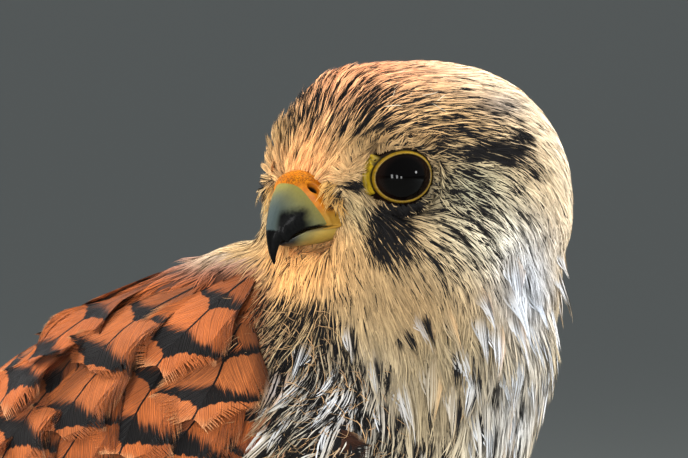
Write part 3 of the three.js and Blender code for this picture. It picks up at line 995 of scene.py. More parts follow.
def webbed(barbs, width, length, slant, fray, blunt, barb_width, rows, rounded, start=0.06, shaft=0.3,
           lean=0.0, closed=0.9):
    """A firm feather: a closed web on both sides of a shaft, and a fringe where its barbs part. It keeps its
    width as far as blunt, and rounded is how far its corners draw back. lean makes one side narrower than
    the other, and closed is how far out its web reaches."""
    made = Sheaf(width, length)
    steps = np.linspace(0, 1, 7)
    made.blade([(0, t * length * 0.98) for t in steps], (1 - steps * 0.85) * shaft, 0.0, 0.12)
    for side in (-1, 1):
        wide = made.half * (1 + side * lean)

        def barb(share, out_share, drift=0.0, longer=1.0):
            """A place a share of the way out on the barb that leaves the shaft a share of the way along"""
            begin = length * (start + (0.96 - start) * share)
            grown = 1 - (1 - min(share / 0.3, 1)) ** 2
            narrow = max(1 - ((share - blunt) / (1.03 - blunt)) ** 2, 0) ** 0.5 if share > blunt else 1.0
            out = wide * (0.35 + 0.65 * grown) * narrow * longer
            top = length * (1.03 - rounded * (out / wide) ** 2) - begin
            ahead = min(slant * wide * (0.4 + 0.6 * narrow), max(top, length * 0.02)) * longer + drift
            return side * out * out_share, begin + ahead * out_share**1.4

        shares = np.linspace(0, 1, rows)
        columns = np.array((0, 0.38, 0.72, 1))[::side] * closed
        made.web(np.array([[barb(s, t) for t in columns] for s in shares]), side * columns)
        clump = 0.0
        for number in range(barbs):
            if number % random.integers(3, 7) == 0:
                clump = random.uniform(-1, 1) * fray * 0.5
            share = 0.08 + 0.92 * (number + 0.5) / barbs
            drift = clump + random.uniform(-0.25, 0.25) * fray
            longer = 1 + random.uniform(-0.12, 0.16) * fray
            path = [barb(share, closed * 0.85), barb(share, (closed + FRINGE_END) / 2, drift * 0.5, longer),
                    barb(share, FRINGE_END, drift, longer)]
            widths = np.array((1.1, 0.8, 0)) * barb_width
            made.blade(path, widths, side * 0.95, random.uniform(0, 0.08), side * 0.05)
    return made.done()


skin = Skin()
MIDDLES_BY_HEAD = either_side(to_head(skin.middles))  # the skin's triangles in the head's frame

# The plumage of the back ends along a slanting edge beside the throat
BACK_TOP = (93, 170)  # x and z of that edge's upper end
BACK_SLOPE = 0.44
BACK_START = (55, -20, 160)  # the first feather of the back, from which the rows spread


def from_back_edge(x, z):
    """How far ahead of the back's plumage a place is"""
    return x - (BACK_TOP[0] + (BACK_TOP[1] - z) * BACK_SLOPE)


def regions():
    """How far each vertex of the skin belongs to the plumage of the back, to that of the head, and to the
    bare legs and toes"""
    x, y, z = skin.places.T
    belongs = skin.belongs
    flank = 80 + (x + 15) * 0.63  # on the trunk, the back's plumage starts at about this height
    over_flank = ramp(-4, 6, z - flank - 4 + 10 * ramp(35, 10, x))
    under_nape = ramp(172.5, 169.5, z + (x - 75) * 0.2 - 3 * ramp(8, 15, np.abs(y)))
    upper = (belongs["trunk"] + belongs["neck"] + belongs["head"]) * (over_flank * under_nape)
    of_back = np.clip(upper + belongs["wing"], 0, 1) * ramp(-3, -8, from_back_edge(x, z))
    of_head = np.clip(belongs["head"] + belongs["neck"] * ramp(140, 165, z) - of_back, 0, 1)
    return of_back, of_head, belongs["tarsus"] + belongs["toe"]


back, hood, leg = regions()

EYE_MIDDLE = to_head(eye_middles["left"][None])[0]
OUT = unit((math.cos(EYE_TURN), math.sin(EYE_TURN), 0))  # the way the left eye looks
FRONT = unit(np.cross(OUT, (0, 0, 1)))  # across the left eye, towards the bill


def in_eye(places):
    """Places in the head's frame as forward, up and out of the left eye's opening"""
    from_eye = either_side(places) - EYE_MIDDLE
    return np.stack([from_eye @ FRONT, from_eye[:, 2] - EYE_LIFT, from_eye @ OUT], 1)


# Colours of the body and of the back under their marks, as on the head
BODY_PAINT = [
    # the first three patches are painted sheen, bluish white, on the breast
    ((120, 10, 155), (10, 14, 16), PAINTED_SHEEN, 0.5),
    ((104, 24, 150), (8, 9, 14), PAINTED_SHEEN, 1.0),
    ((126, 2, 148), (8, 9, 14), PAINTED_SHEEN, 1.0),
    ((115, 16, 143), (9, 9, 14), srgb(146, 126, 94), 0.85),
    ((110, 12, 120), (20, 20, 20), CREAM, 0.8),
    ((20, 0, 65), (40, 30, 20), CREAM, 0.6),
    ((104, 16, 158), (10, 10, 8), BUFF, 0.5),
    ((72, 22, 60), (15, 16, 26), BUFF, 0.8),
]
BACK_PAINT = [
    # painted highlight: a pale patch along the top of the back
    ((78, 4, 171), (16, 12, 4), srgb(190, 182, 172), 0.9),
]


def ground_at(places, how_head, how_back):
    """Colour of the plumage at each place, by how far that is of the head and of the back"""
    head_colour = painted(either_side(to_head(places)), HEAD_PAINT, WARM_BROW)
    body_colour = painted(either_side(places), BODY_PAINT, srgb(164, 150, 120))
    body_colour += (head_colour - body_colour) * how_head[:, None]
    back_colour = painted(either_side(places), BACK_PAINT, RUFOUS * 0.8)
    return body_colour + (back_colour - body_colour) * how_back[:, None]


def on_head(places, layers, how_head):
    return shaded(either_side(to_head(places)), layers) * how_head


DROPS_SEEN = 6  # how many drops can darken one feather


class Streaks:
    """Dark drops laid over the coat along its lie: bold on the breast, slender on the head"""

    def __init__(self, weight, tries, gap, size):
        """size takes the places and gives half of each drop's length and half of its width"""
        roots = Roots(weight, tries, gap)
        self.place, self.normal = roots.place, roots.normal
        spin = random.normal(0, 0.12, len(self.place))
        self.way = turned(lie(self.place, self.normal), self.normal, spin)
        self.side = np.cross(self.normal, self.way)
        self.half = np.stack(size(self.place), 1) * random.uniform(0.75, 1.25, (len(self.place), 2))

    def on(self, places, ragged):
        """How dark each place of each feather is. Only the drops nearest to a feather are looked at."""
        apart = ((places[:, places.shape[1] // 2, None] - self.place[None]) ** 2).sum(2)
        nearest = np.argsort(apart, 1)[:, :DROPS_SEEN]
        dark = np.zeros(places.shape[:2])
        for rank in range(nearest.shape[1]):
            drop = nearest[:, rank]
            offset = places - self.place[drop][:, None]
            along = (offset * self.way[drop][:, None]).sum(2) / self.half[drop, 0][:, None]
            aside = (offset * self.side[drop][:, None]).sum(2) / self.half[drop, 1][:, None]
            taper = 1.25 - 0.45 * along
            far = np.hypot(along, aside * taper) + (ragged - 0.5) * 0.5
            dark = np.maximum(dark, ramp(1.1, 0.8, far))
        return dark


def dress_skin():
    """The coat's colours darkened as painted shade under the coat, and the yellow of the bare legs and toes
    """
    ground = ground_at(skin.places, hood, back)
    # painted shade: the coat's colour darkened under the coat, most under the back's feathers
    tell(skin.mesh, "ground", ground * (0.6 - 0.45 * back[:, None]))
    tell(skin.mesh, "marks", np.clip(on_head(skin.places, HEAD_SHADE, hood), 0, 1))
    tell(skin.mesh, "vane", np.tile((0, 0.5, 0.5), (len(skin.places), 1)))
    skin.mesh.shade_smooth()
    piece("skin", skin.mesh, [soft_feathers("down_in_painted_shade"), bare_skin()], "plumage", *FLESH)
    bare = leg[skin.triangles].mean(1) > 0.5
    polygon = np.empty(len(skin.mesh.loop_triangles), np.int32)
    skin.mesh.loop_triangles.foreach_get("polygon_index", polygon)
    index = np.zeros(len(skin.mesh.polygons), np.int32)
    index[polygon[bare]] = 1
    skin.mesh.polygons.foreach_set("material_index", index)


def scaly(tree):
    return cells(tree, place_in(tree), 900)


def bare_skin():
    def colour(tree):
        worn = noise(tree, place_in(tree), 300)
        base = mix(tree, worn.ramp(0.35, 0.7), YELLOW, srgb(196, 140, 24))
        return mix(tree, scaly(tree).ramp(0.35, 0.75) * 0.5, base, srgb(120, 80, 20))

    return material("bare_skin", colour, 0.5, lambda tree: bump(tree, -scaly(tree), 0.25, 0.8))


def tangle_and_shadow_at(places):
    """Where the feathers of back and breast lie in a tangle beside the throat, darkened there as painted
    shadow
    """
    local = either_side(places)
    from_edge = from_back_edge(local[..., 0], local[..., 2])
    near = ramp(-13, -8, from_edge) * ramp(8, 3, from_edge)
    return near * ramp(128, 138, local[..., 2]) * ramp(166, 160, local[..., 2]) * ramp(12, 18, local[..., 1])


# Feathers of the head: tufts, fine as hair, that lie back from the bill
def head_weight():
    """Where the head's feathers grow: not on the bare skin round the eyes, nor under the bill"""
    eye_ahead, eye_up, outward = in_eye(MIDDLES_BY_HEAD).T
    turn = np.arctan2(eye_up, eye_ahead)
    from_opening = (np.hypot(eye_ahead / EYE_OPENING[0], eye_up / EYE_OPENING[1]) - 1) * EYE_OPENING[0]
    clear = (from_opening - RING_WIDTH > bare_reach(turn) * 1.3 - 0.1) | (outward < 0)
    ahead, aside, high = MIDDLES_BY_HEAD.T
    bill = (ahead > 11.2) & (aside < 6.0) & (np.abs(high + 3.5) < 5.4) & (aside + ahead < 19)
    return skin.at_triangles(hood) * clear * ~bill


def hairs(lane, own):
    """A number from 0 to 1 for each strand of each feather"""
    return np.abs(np.sin(lane * 91.7 + own[:, None] * 47.3) * 437.5) % 1


def ground_of(facts, places):
    """Colour of the plumage at each vertex of each feather"""
    how_head, how_back = (np.repeat(facts[key], places.shape[1]) for key in ("hood", "back"))
    return ground_at(places.reshape(-1, 3), how_head, how_back).reshape(places.shape)


def soft_pattern(facts, u, v, lane, places):
    """Every strand with its own tone. Colours, drops and dark patches fall on the strands where they lie."""
    hair = hairs(lane, facts["own"])
    other = (hair * 7.3) % 1
    flat, how_head = places.reshape(-1, 3), np.repeat(facts["hood"], places.shape[1])
    tone = (0.58 + 0.58 * hair) * (1 - 0.42 * ramp(0.6, 0.0, v))
    ground = ground_of(facts, places) * tone[..., None]
    shade = on_head(flat, HEAD_SHADE, how_head).reshape(v.shape)
    marks = ramp(-0.1, 0.14, shade * 1.09 - 0.1 - other) * (0.88 + 0.12 * hair)
    # in the tangle beside the throat, strands darkened as painted shadow
    marks = np.maximum(marks, ramp(0.12, -0.12, other - tangle_and_shadow_at(places) * 0.68))
    line = other < on_head(flat, HEAD_HAIRLINES, how_head).reshape(v.shape)
    marks = np.maximum(marks, line * ramp(0.1, 0.3, v) * 0.85)
    if facts["streaks"]:
        drops = facts["streaks"].on(places, other) * ramp(0.1, 0.3, v)
        marks = np.maximum(marks, drops * (1 - 0.7 * painted_sheen_at(places)))
    return ground, np.clip(marks, 0, 1)


def plain_pattern(facts, u, v, lane, places):
    """Ground colour of each feather, its marks left to the material"""
    ground = np.repeat(facts["ground"][:, None], u.shape[1], 1)
    ground = ground * (1 - 0.35 * ramp(0.5, 0.0, v)[..., None])
    return ground, np.repeat(facts["streak"][:, None], u.shape[1], 1)


def facts_of(roots, drops):
    """What the patterns are told of each feather: how far it is of the head and of the back, how strongly it
    is marked, the drops that fall on it and a number of its own"""
    count = len(roots.place)
    return {"hood": roots.blend(hood), "back": roots.blend(back), "streak": np.ones(count), "streaks": drops,
            "own": random.random(count)}


def pick(facts, which):
    """The same facts for some of the feathers only"""
    return {key: value[which] if isinstance(value, np.ndarray) else value for key, value in facts.items()}


def on_grid(roots):
    """A square of the bake for each feather, side by side"""
    count = len(roots.place)
    columns = math.ceil(math.sqrt(count))
    number = np.arange(count)
    corner = np.stack([number % columns, number // columns], 1) + 0.5
    return corner / columns, BAKE_FILL / columns


def found(value, places):
    """A number as it is, or what a function gives for the places"""
    return value(places) if callable(value) else value


def dealt(sheaves, count):
    """Each sheaf with the feathers that take its form, which is left to chance"""
    choice = random.integers(0, len(sheaves), count)
    return [(sheaf, choice == number) for number, sheaf in enumerate(sheaves)]


def lay_feathers(name, roots, sheaves, length, stout, lift, finish, pattern, facts=None, turn=0.12, steps=3,
                 cling=1.0, camber=0.15, large=False, sink=0.15, streaks=None, roll=0.0, rise=1.0, vary=0.15):
    """Feathers from their roots with the lie of the coat. length, lift and turn are numbers or found from the
    places, and stout is the width for each millimetre of length. turn is how far they stray from the lie,
    sink how deep they root and vary how much their lengths differ. large gives each its own square of the
    bake."""
    count = len(roots.place)
    known = facts_of(roots, streaks)
    if facts:
        known.update(facts(roots))
    known["map"], known["patch"] = on_grid(roots) if large else (roots.on_map(), BAKE_PATCH)
    size = random.uniform(1 - vary, 1 + vary, count) * found(length, roots.place)
    turns = random.normal(0, 1, count) * found(turn, roots.place)
    path, ups = trace(roots.place - roots.normal * sink, roots.normal, size, steps, turns, cling)
    forms = dealt(sheaves, count)
    lifted = random.uniform(0.8, 1.2, count) * found(lift, roots.place)
    coat = Coat()
    for sheaf, which in forms:
        bow = random.normal(0, 0.22, which.sum())
        coat.lay(sheaf, path[which], ups[which], stout * size[which], lifted[which], camber, bow,
                 roll, rise, **pick(known, which))
    coat.made(name, finish, "plumage", pattern)


def head_length(places):
    """Shortest on the face, longest on the throat"""
    local = either_side(to_head(places))
    face = mound(local, (11, 6, 0), (7, 9, 9))
    return 8.0 - 3.9 * face + 1.0 * ramp(-4, -16, local[:, 2])


def head_lift(places):
    """The coat is fluffed up on the far brow and crown, and on the near side of the nape"""
    local = to_head(places)
    brow = mound(local, (7.5, -9, 4), (6, 6, 7))
    crown = mound(local, (1, -5, 13), (7, 7, 5))
    nape = mound(local, (-23, 21, -15), (8, 9, 9))
    return 0.7 + 2.3 * brow + 1.3 * crown + 1.6 * nape


def slender_size(places):
    """Half of the length and of the width of the drops on the head"""
    return np.full(len(places), 3.0), np.full(len(places), 0.56)


def head_feathers():
    """Three zones on either side, each a piece of its own"""
    local = to_head(skin.middles)
    weight = head_weight()
    streaked = skin.at_triangles(on_head(skin.places, HEAD_STREAKS, hood))
    streaked *= 1 - mound(MIDDLES_BY_HEAD, (8, 7, 6), (6, 9, 5))
    streaked *= streaked > 0.16
    tufts = [tuft(14, 2.2, 7.2, 0.135, loose=0.3, wave=0.14) for _ in range(8)]
    zones = {"crown": local[:, 2] > 2, "face": np.abs(local[:, 2] + 4) <= 6, "throat": local[:, 2] < -10}
    for name, sign in SIDES.items():
        one_side = local[:, 1] * sign > 0
        slender = Streaks(streaked * one_side, 5000, 2.15, slender_size)
        for zone, within in zones.items():
            roots = Roots(weight * one_side * within, 12000, 0.72)
            lay_feathers(f"{zone}_feathers_{name}", roots, tufts, head_length, 0.3, head_lift, SOFT,
                         soft_pattern, streaks=slender, rise=1.8)


def cere_bristles():
    """Fine bristles and feathers that lean forward from the lores over the edge of the cere"""
    coat = Coat()
    near = mound(MIDDLES_BY_HEAD, (10.6, 7.4, -2.2), (1.3, 1.8, 3.4)) * (head_weight() > 0.5)
    roots = Roots(near * (near > 0.2), 700, 0.4)
    count = len(roots.place)
    side = np.sign(to_head(roots.place)[:, 1])
    spread = random.normal(0, 0.25, (count, 3))
    ahead = unit(np.stack([np.full(count, 0.72), side * 0.1, np.full(count, -0.62)], 1) + spread) @ HEAD_AXES
    ahead = unit(ahead - roots.normal * (ahead * roots.normal).sum(1)[:, None])
    length = random.uniform(2.6, 4.8, count)
    rise = np.array((0, 0.9, 1.5, 1.6))
    steps = np.linspace(0, 1, 4)
    path = roots.place[:, None] + ahead[:, None] * (length[:, None] * steps)[..., None]
    path += roots.normal[:, None] * rise[None, :, None]
    ups = np.repeat(roots.normal[:, None], 4, 1)
    dark = random.random(count) < 0.3
    facts = {"ground": np.where(dark[:, None], DARK * 2, srgb(206, 160, 92)), "streak": np.zeros(count)}
    facts["own"] = random.random(count)
    facts["map"] = roots.on_map()
    tufts = [tuft(4, 0.9, 3, 0.1, loose=0.4, wave=0.2) for _ in range(5)]
    for sheaf, which in dealt(tufts, count):
        coat.lay(sheaf, path[which], ups[which], 0.9, 0.1, patch=BAKE_PATCH, **pick(facts, which))
    coat.made("cere_bristles", SOFT, "plumage", plain_pattern)


def rim_feathers():
    """Short feathers from the lids outwards, which close the coat round the eyes"""
    count = 420
    coat = Coat()
    tufts = [tuft(9, 1.7, 3.6, 0.16, loose=0.3, wave=0.1) for _ in range(6)]
    for side in SIDES:
        turns = random.uniform(0, 2 * math.pi, count)
        beyond = RING_WIDTH + bare_reach(turns) + 0.1 + random.uniform(0, 1.5, count)
        starts = round_eye(side, turns, beyond, 0.15, 0.96)
        centre = eye_place(side, 0, EYE_LIFT, 0)
        outward = unit(eye_place(side, 0, 0, 1) - eye_place(side, 0, 0, 0))
        away = unit(starts - centre - outward * ((starts - centre) @ outward)[:, None])
        way = lie(starts, np.tile(outward, (count, 1)))
        way = unit(way + away * (0.22 - np.minimum((way * away).sum(1), 0))[:, None])
        length = random.uniform(2.6, 4.0, count)
        path = [starts]
        for step in (1, 2, 3):
            straight = starts + way * (length * step / 3)[:, None]
            on_skin, normal = skin.nearest(straight)
            path.append(straight + (on_skin + normal * 1.5 - straight) * step / 3.6)
        path = np.stack(path, 1)
        facts = {"hood": np.ones(count), "back": np.zeros(count), "streaks": None}
        facts["own"] = random.random(count)
        facts["map"] = 0.5 + np.stack([np.cos(turns), np.sin(turns)], 1) * (0.1 + 0.1 * beyond[:, None])
        for sheaf, which in dealt(tufts, count):
            ups = np.tile(outward, (which.sum(), 4, 1))
            coat.lay(sheaf, path[which], ups, 1.7, 0.3, 0.1, 0.0, patch=BAKE_PATCH, **pick(facts, which))
    coat.made("eye_rim_feathers", SOFT, "plumage", soft_pattern)


# Feathers of the breast, the belly and the legs: long, soft and a little wavy
BREAST_END = 118  # below this height the belly starts


def front_weight():
    """Where they grow: on all that is neither head, back nor bare, and thinly on the wings"""
    soft = np.clip(1 - hood - back - leg, 0, 1)
    return skin.at_triangles(soft * (1 - 0.5 * skin.belongs["wing"]))


def front_length(places):
    return 10 + 8 * ramp(165, 125, places[:, 2]) - 6 * ramp(70, 45, places[:, 2])


def drop_size(places):
    """Drops grow bolder from the throat down to the flanks"""
    low = ramp(165, 130, places[:, 2])
    return 3.2 + 2.2 * low, 0.7 + 0.75 * low


def lock(strands, width, length, strand_width):
    """A feather whose strands part from its root and meet again at its tip"""
    made = Sheaf(width, length)
    steps = np.linspace(0, 1, 6)
    lean = random.uniform(-0.35, 0.35)
    for lane in np.linspace(-1, 1, strands):
        lane = lane + random.uniform(-0.08, 0.08)
        reach = length * (1 - 0.38 * abs(lane) ** 1.3) * random.uniform(0.8, 1.05)
        begin = random.uniform(0, 0.25) * length
        bulge = np.sin(math.pi * steps**0.75) * 0.85 + steps * random.uniform(-0.1, 0.4)
        sideways = lane * (0.12 + bulge) + lean * steps**2 + 0.05 * np.sin(steps * 6 + lane * 5)
        path = np.column_stack([sideways * made.half, begin + (reach - begin) * steps])
        widths = (0.8 + 0.4 * np.sin(steps * math.pi)) * strand_width
        made.blade(path, widths, lane, 0.4 * (1 - lane**2), random.uniform(-0.08, 0.08))
    return made.done()


def lock_pattern(facts, u, v, lane, places):
    """A dark streak down the middle. Some have a pale painted highlight on one side or both, others cream and
    buff.
    """
    hair = hairs(lane, facts["own"])
    own = facts["own"][:, None]
    kind = (own * 13.7) % 1
    ground = ground_of(facts, places)
    sheen_share = painted_sheen_at(places)
    lit = ramp(-0.6, 0.5, lane + (hair - 0.5) * 0.5 + sheen_share - 0.5) * ramp(0.25, 0.6, kind + sheen_share * 0.5)
    lit = np.maximum(lit * 0.85, ramp(0.45, 0.8, sheen_share))
    ground += (PAINTED_SHEEN - ground) * (lit * ramp(0.25, 0.55, v))[..., None] * 0.7
    warm = ramp(0.3, -0.7, lane + (hair - 0.5) * 0.4) * ramp(0.75, 0.45, kind + sheen_share * 0.4)
    ground += (BUFF * 0.78 - ground) * warm[..., None] * 0.7
    ground *= ((0.66 + 0.42 * hair) * (1 - 0.38 * ramp(0.55, 0.0, v)))[..., None]
    streaked = ramp(0.3, 0.45, (own * 7.7) % 1)
    near = ramp(0.44, 0.24, np.abs(lane + 0.2) + (hair - 0.5) * 0.35 + ramp(0.6, 0.98, v) * 0.25)
    inner = ramp(0.25, 0.45, v + (hair - 0.5) * 0.2) * ramp(1.0, 0.84, v)
    marks = near * inner * streaked * (0.92 - 0.5 * sheen_share) * ramp(177, 168, places[..., 2])
    # in the tangle beside the throat, strands darkened as painted shadow
    marks = np.maximum(marks, (hair < tangle_and_shadow_at(places) * 0.45) * 0.9)
    return ground, np.clip(marks, 0, 1)


def painted_sheen_at(places):
    """How strongly a bluish white painted sheen lies on the breast: most on its sides"""
    local = either_side(places)
    return np.clip(mound(local, (126, 4, 161), (9, 12, 19)) + mound(local, (98, 30, 156), (9, 10, 16)), 0, 1)


def lock_length(places):
    return 11 + 4 * ramp(170, 150, places[:, 2]) + random.uniform(-2, 2.5, len(places))


def lock_lift(places):
    """They stand off most in front of the throat"""
    return 1.3 + 2.3 * mound(places, (127, 5, 168), (12, 14, 20))


def front_feathers():
    weight, height = front_weight(), skin.middles[:, 2]
    thigh, wing = (skin.at_triangles(skin.belongs[part]) for part in ("thigh", "wing"))
    streaked = ramp(172, 158, height) * (0.2 + 0.8 * ramp(70, 105, height)) * (1 - thigh)
    drops = Streaks(weight * streaked, 4000, 5.4, drop_size)
    silks = [tuft(20, 6.6, 15, 0.26, spread=0.75, loose=0.3, wave=0.12, rows=4, late=0.3) for _ in range(7)]
    for name, sign in SIDES.items():
        mine = weight * (skin.middles[:, 1] * sign > 0) * (height > BREAST_END)
        lay_feathers("breast_feathers_" + name, Roots(mine, 12000, 1.8), silks, front_length, 0.42, lock_lift,
                     SOFT, soft_pattern, turn=0.16, steps=4, cling=0.97, streaks=drops)
    fewer = [tuft(18, 8, 17, 0.42, spread=0.75, loose=0.3, wave=0.12, rows=4, late=0.3) for _ in range(6)]
    belly = Roots(weight * (height <= BREAST_END), 16000, 2.7)
    lay_feathers("belly_feathers", belly, fewer, front_length, 0.48, 1.9, SOFT, soft_pattern, turn=0.16,
                 steps=4, cling=0.96, streaks=drops)
    locks = [lock(30, 5.8, 13, 0.23) for _ in range(8)]
    below_cheek = ramp(-14, -20, MIDDLES_BY_HEAD[:, 2] + 0.25 * (MIDDLES_BY_HEAD[:, 0] + 10)) * (height > 104)
    worn = (1 - skin.at_triangles(back + leg)) * below_cheek * (1 - 0.8 * wing)
    for name, sign in SIDES.items():
        roots = Roots(worn * (skin.middles[:, 1] * sign > 0), 3000, 4.1)
        lay_feathers("breast_locks_" + name, roots, locks, lock_length, 0.42, lock_lift, SOFT, lock_pattern,
                     turn=0.16, steps=4, cling=0.97, large=True, roll=0.1)


def loose_strands(name, weight, count, gap, length, strand_width, shade, turn=0.9, lift=1.6, wave=0.35):
    """Single curly strands that lie across the coat"""

    def pattern(facts, u, v, lane, places):
        bright = 0.6 + 0.4 * facts["own"][:, None] * np.ones_like(v)
        return np.asarray(shade) * bright[..., None], np.zeros_like(v)

    strands = [tuft(1, length * 0.5, length, strand_width, loose=0.5, wave=wave, rows=9) for _ in range(9)]
    lay_feathers(name, Roots(weight, count, gap), strands, length, 0.5, lift, SOFT, pattern, turn=turn,
                 steps=4, cling=0.97)


def wisps():
    """The loose strands and the small feathers that break up the coat's outlines"""
    tangle_in_shadow = skin.at_triangles(tangle_and_shadow_at(skin.places)) ** 2
    loose_strands("tangle_wisps", tangle_in_shadow, 2400, 0.9, 6, 0.08, BUFF * 0.6, wave=0.45)
    crown = mound(MIDDLES_BY_HEAD, (-4, 10, 13), (7, 6, 4)) ** 2
    loose_strands("crown_wisps", crown, 90, 1.6, 5, 0.1, CREAM * 0.9, turn=0.8, lift=1.0)
    lores = mound(MIDDLES_BY_HEAD, (11, 7.5, -1), (2, 2.5, 3)) * head_weight()
    loose_strands("bristles", lores**2, 160, 0.6, 3.6, 0.08, DARK, turn=0.35, lift=1.2, wave=0.2)
    parting = mound(MIDDLES_BY_HEAD, (9.8, 8.6, 1.8), (2.4, 3.2, 1.8))
    parting += mound(MIDDLES_BY_HEAD, (-4.2, 18.2, -0.6), (2.6, 2.6, 3.2))
    parting *= head_weight()
    short = [tuft(8, 0.9, 2.8, 0.14, loose=0.3, wave=0.1) for _ in range(5)]
    lay_feathers("lore_feathers", Roots(parting * (parting > 0.25), 2200, 0.42), short, 2.8, 0.32, 0.8, SOFT,
                 soft_pattern, turn=0.3)
    down = [tuft(14, 4.4, 9, 0.2, spread=0.8, loose=0.4, wave=0.2) for _ in range(5)]
    high = skin.at_triangles(back + tangle_and_shadow_at(skin.places)) * ramp(156, 166, skin.middles[:, 2])
    lay_feathers("back_down", Roots(high, 4000, 2.4), down, 8, 0.45, 0.6, SOFT, soft_pattern, turn=0.3)


# Feathers of the back and the wings: firm, barred, with a fine fringe
def back_length(places):
    """Longest over the shoulders and towards the ends of the wings, shorter in the tangle"""
    local = either_side(places)
    over = ramp(122, 150, local[:, 2] + 0.25 * (70 - local[:, 0]))
    wing = 15 + 12 * ramp(90, 0, local[:, 0])
    return wing + (29 - wing) * over - 9 * tangle_and_shadow_at(places)


def back_gaps(places):
    """How far apart the feathers lie across and along their rows"""
    return back_length(places)[0] * np.array((0.46, 0.3 + 0.06 * ramp(140, 120, places[0, 2])))


def back_facts(roots):
    count = len(roots.place)
    tones = random.random(count)[:, None] ** 1.5
    ground = RUFOUS * (1 - tones * 0.6) + PALE_RUFOUS * tones * 0.6
    return {"ground": ground, "streak": np.full(count, 0.93)}


def back_pattern(facts, u, v, lane, places):
    """Darker at the root. In the tangle beside the throat, painted shadow darkens all, every other one nearly
    black.
    """
    ground, marks = plain_pattern(facts, u, v, lane, places)
    ground = ground * (1 - 0.45 * ramp(0.64, 0.3, v)[..., None])
    tangle_in_shadow = tangle_and_shadow_at(places)[..., None]
    darkest = ramp(0.45, 0.55, (facts["own"] * 5.3) % 1)[:, None, None]
    return ground * (1 - tangle_in_shadow * (0.7 + 0.25 * darkest)), marks


def back_turn(places):
    return 0.06 + 0.5 * tangle_and_shadow_at(places)


def back_lift(places):
    """The coat stands off most along the top of the back"""
    return 1.2 + 2.7 * mound(places, (60, -10, 168), (34, 14, 9))


def back_feathers():
    vanes = [webbed(104, 20, 29, slant=1.0, fray=0.3, blunt=0.62, barb_width=0.17, rows=9, closed=0.72,
                    rounded=0.2) for _ in range(6)]
    roots = in_rows(skin.at_triangles(back), BACK_START, back_gaps)
    for name, sign in SIDES.items():
        mine = copy.copy(roots)
        mine.keep(roots.place[:, 1] * sign > 0)
        lay_feathers("back_feathers_" + name, mine, vanes, back_length, 0.69, back_lift, BARRED, back_pattern,
                     back_facts, turn=back_turn, steps=5, camber=0.06, large=True, sink=0.4, roll=0.07 * sign,
                     vary=0.04)


# Quills of the wings and the tail, laid along paths of their own
def lay_quills(name, finish, replaced, quills, ground, blunt):
    """quills gives each one's path, its upper side, its width and how much narrower its outer side is"""
    coat = Coat()
    columns = math.ceil(math.sqrt(len(quills)))
    for number, (path, up, width, lean) in enumerate(quills):
        path = np.array(path, float)
        length = np.linalg.norm(np.diff(path, axis=0), axis=1).sum()
        sheaf = webbed(96, width, length, slant=0.9, fray=0.15, start=0.0, shaft=0.9, lean=lean,
                       barb_width=length / 76, rows=22, rounded=0.07, blunt=blunt)
        corner = np.array([[number % columns + 0.5, number // columns + 0.5]]) / columns
        facts = {"ground": np.asarray(ground)[None] * random.uniform(0.85, 1.1), "streak": np.ones(1),
                 "own": random.random(1), "map": corner, "patch": BAKE_FILL / columns}
        coat.lay(sheaf, path[None], np.tile(up, (1, len(path), 1)), width, 0.0, 0.1, 0.0, **facts)
    coat.made(name, finish, "flight_feathers", plain_pattern, replaced)


# The middle of the left wing's outer face from the shoulder on, and how far along it each point lies
WING_LINE = np.array([(45, 31.5, 114), (5.3, 24, 92), (-28.7, 15.5, 69), (-66.7, 10, 47), (-104.7, 5, 27)])
WING_RUN = np.array([0, 46, 87, 131, 175])
WING_OUT = unit((0, 0.74, 0.67))  # square to that face
WING_PROBE, WING_LEAST = 30, 0.8  # where its surface is looked for from, and how far out it lies at least
# Each quill of a closed wing, the outermost first: where its tip is along the wing, and how high across it
# the tip and the root stand
PRIMARIES = [(174, -1.2, -8), (170, -0.6, -7), (160, 0.2, -6), (149, 1.2, -5), (138, 2.2, -4), (128, 3.2, -3),
             (119, 4.2, -2)]
SECONDARIES = [(113, -3, -8), (110, -1.6, -6), (107, -0.2, -4), (103, 1.2, -2), (98, 2.6, 0), (92, 4, 2),
               (85, 5, 4), (76, 6, 6)]


def wing_place(along, high, out, sign):
    """A place on a wing: how far along it, how high across it and how far out of its flesh"""
    centre = np.array([np.interp(along, WING_RUN, WING_LINE[:, i]) for i in range(3)])
    onward = unit(WING_LINE[-1] - WING_LINE[0])
    upward = np.cross(WING_OUT, onward)
    place = centre + upward * high * (1 if upward[2] > 0 else -1)
    seen_from = Vector(place + WING_OUT * WING_PROBE)
    hit = skin.tree.ray_cast(seen_from, Vector(-WING_OUT), WING_PROBE + 10)[0]
    on_flesh = max(WING_PROBE - (seen_from - hit).length, WING_LEAST) if hit else WING_LEAST
    return (place + WING_OUT * (on_flesh + out)) * (1, sign, 1)


def wing_quills(name, table, first, width, layer, finish, replaced, ground):
    """Both wings' quills of a table. first is where they root along the wing, layer how far out they lie."""
    for side, sign in SIDES.items():
        quills = []
        for number, (tip, high_tip, high_root) in enumerate(table):
            path = []
            for t in np.linspace(0, 1, 5):
                along = first + (tip - first) * t
                high = high_root + (high_tip - high_root) * t
                path.append(wing_place(along, high, layer + 0.34 * number + 0.5 * t, sign))
            quills.append((path, WING_OUT * (1, sign, 1), width, -0.3 * sign))
        nodes = [replaced + side] if replaced else []
        lay_quills(f"{name}_{side}", finish, nodes, quills, ground, 0.78)


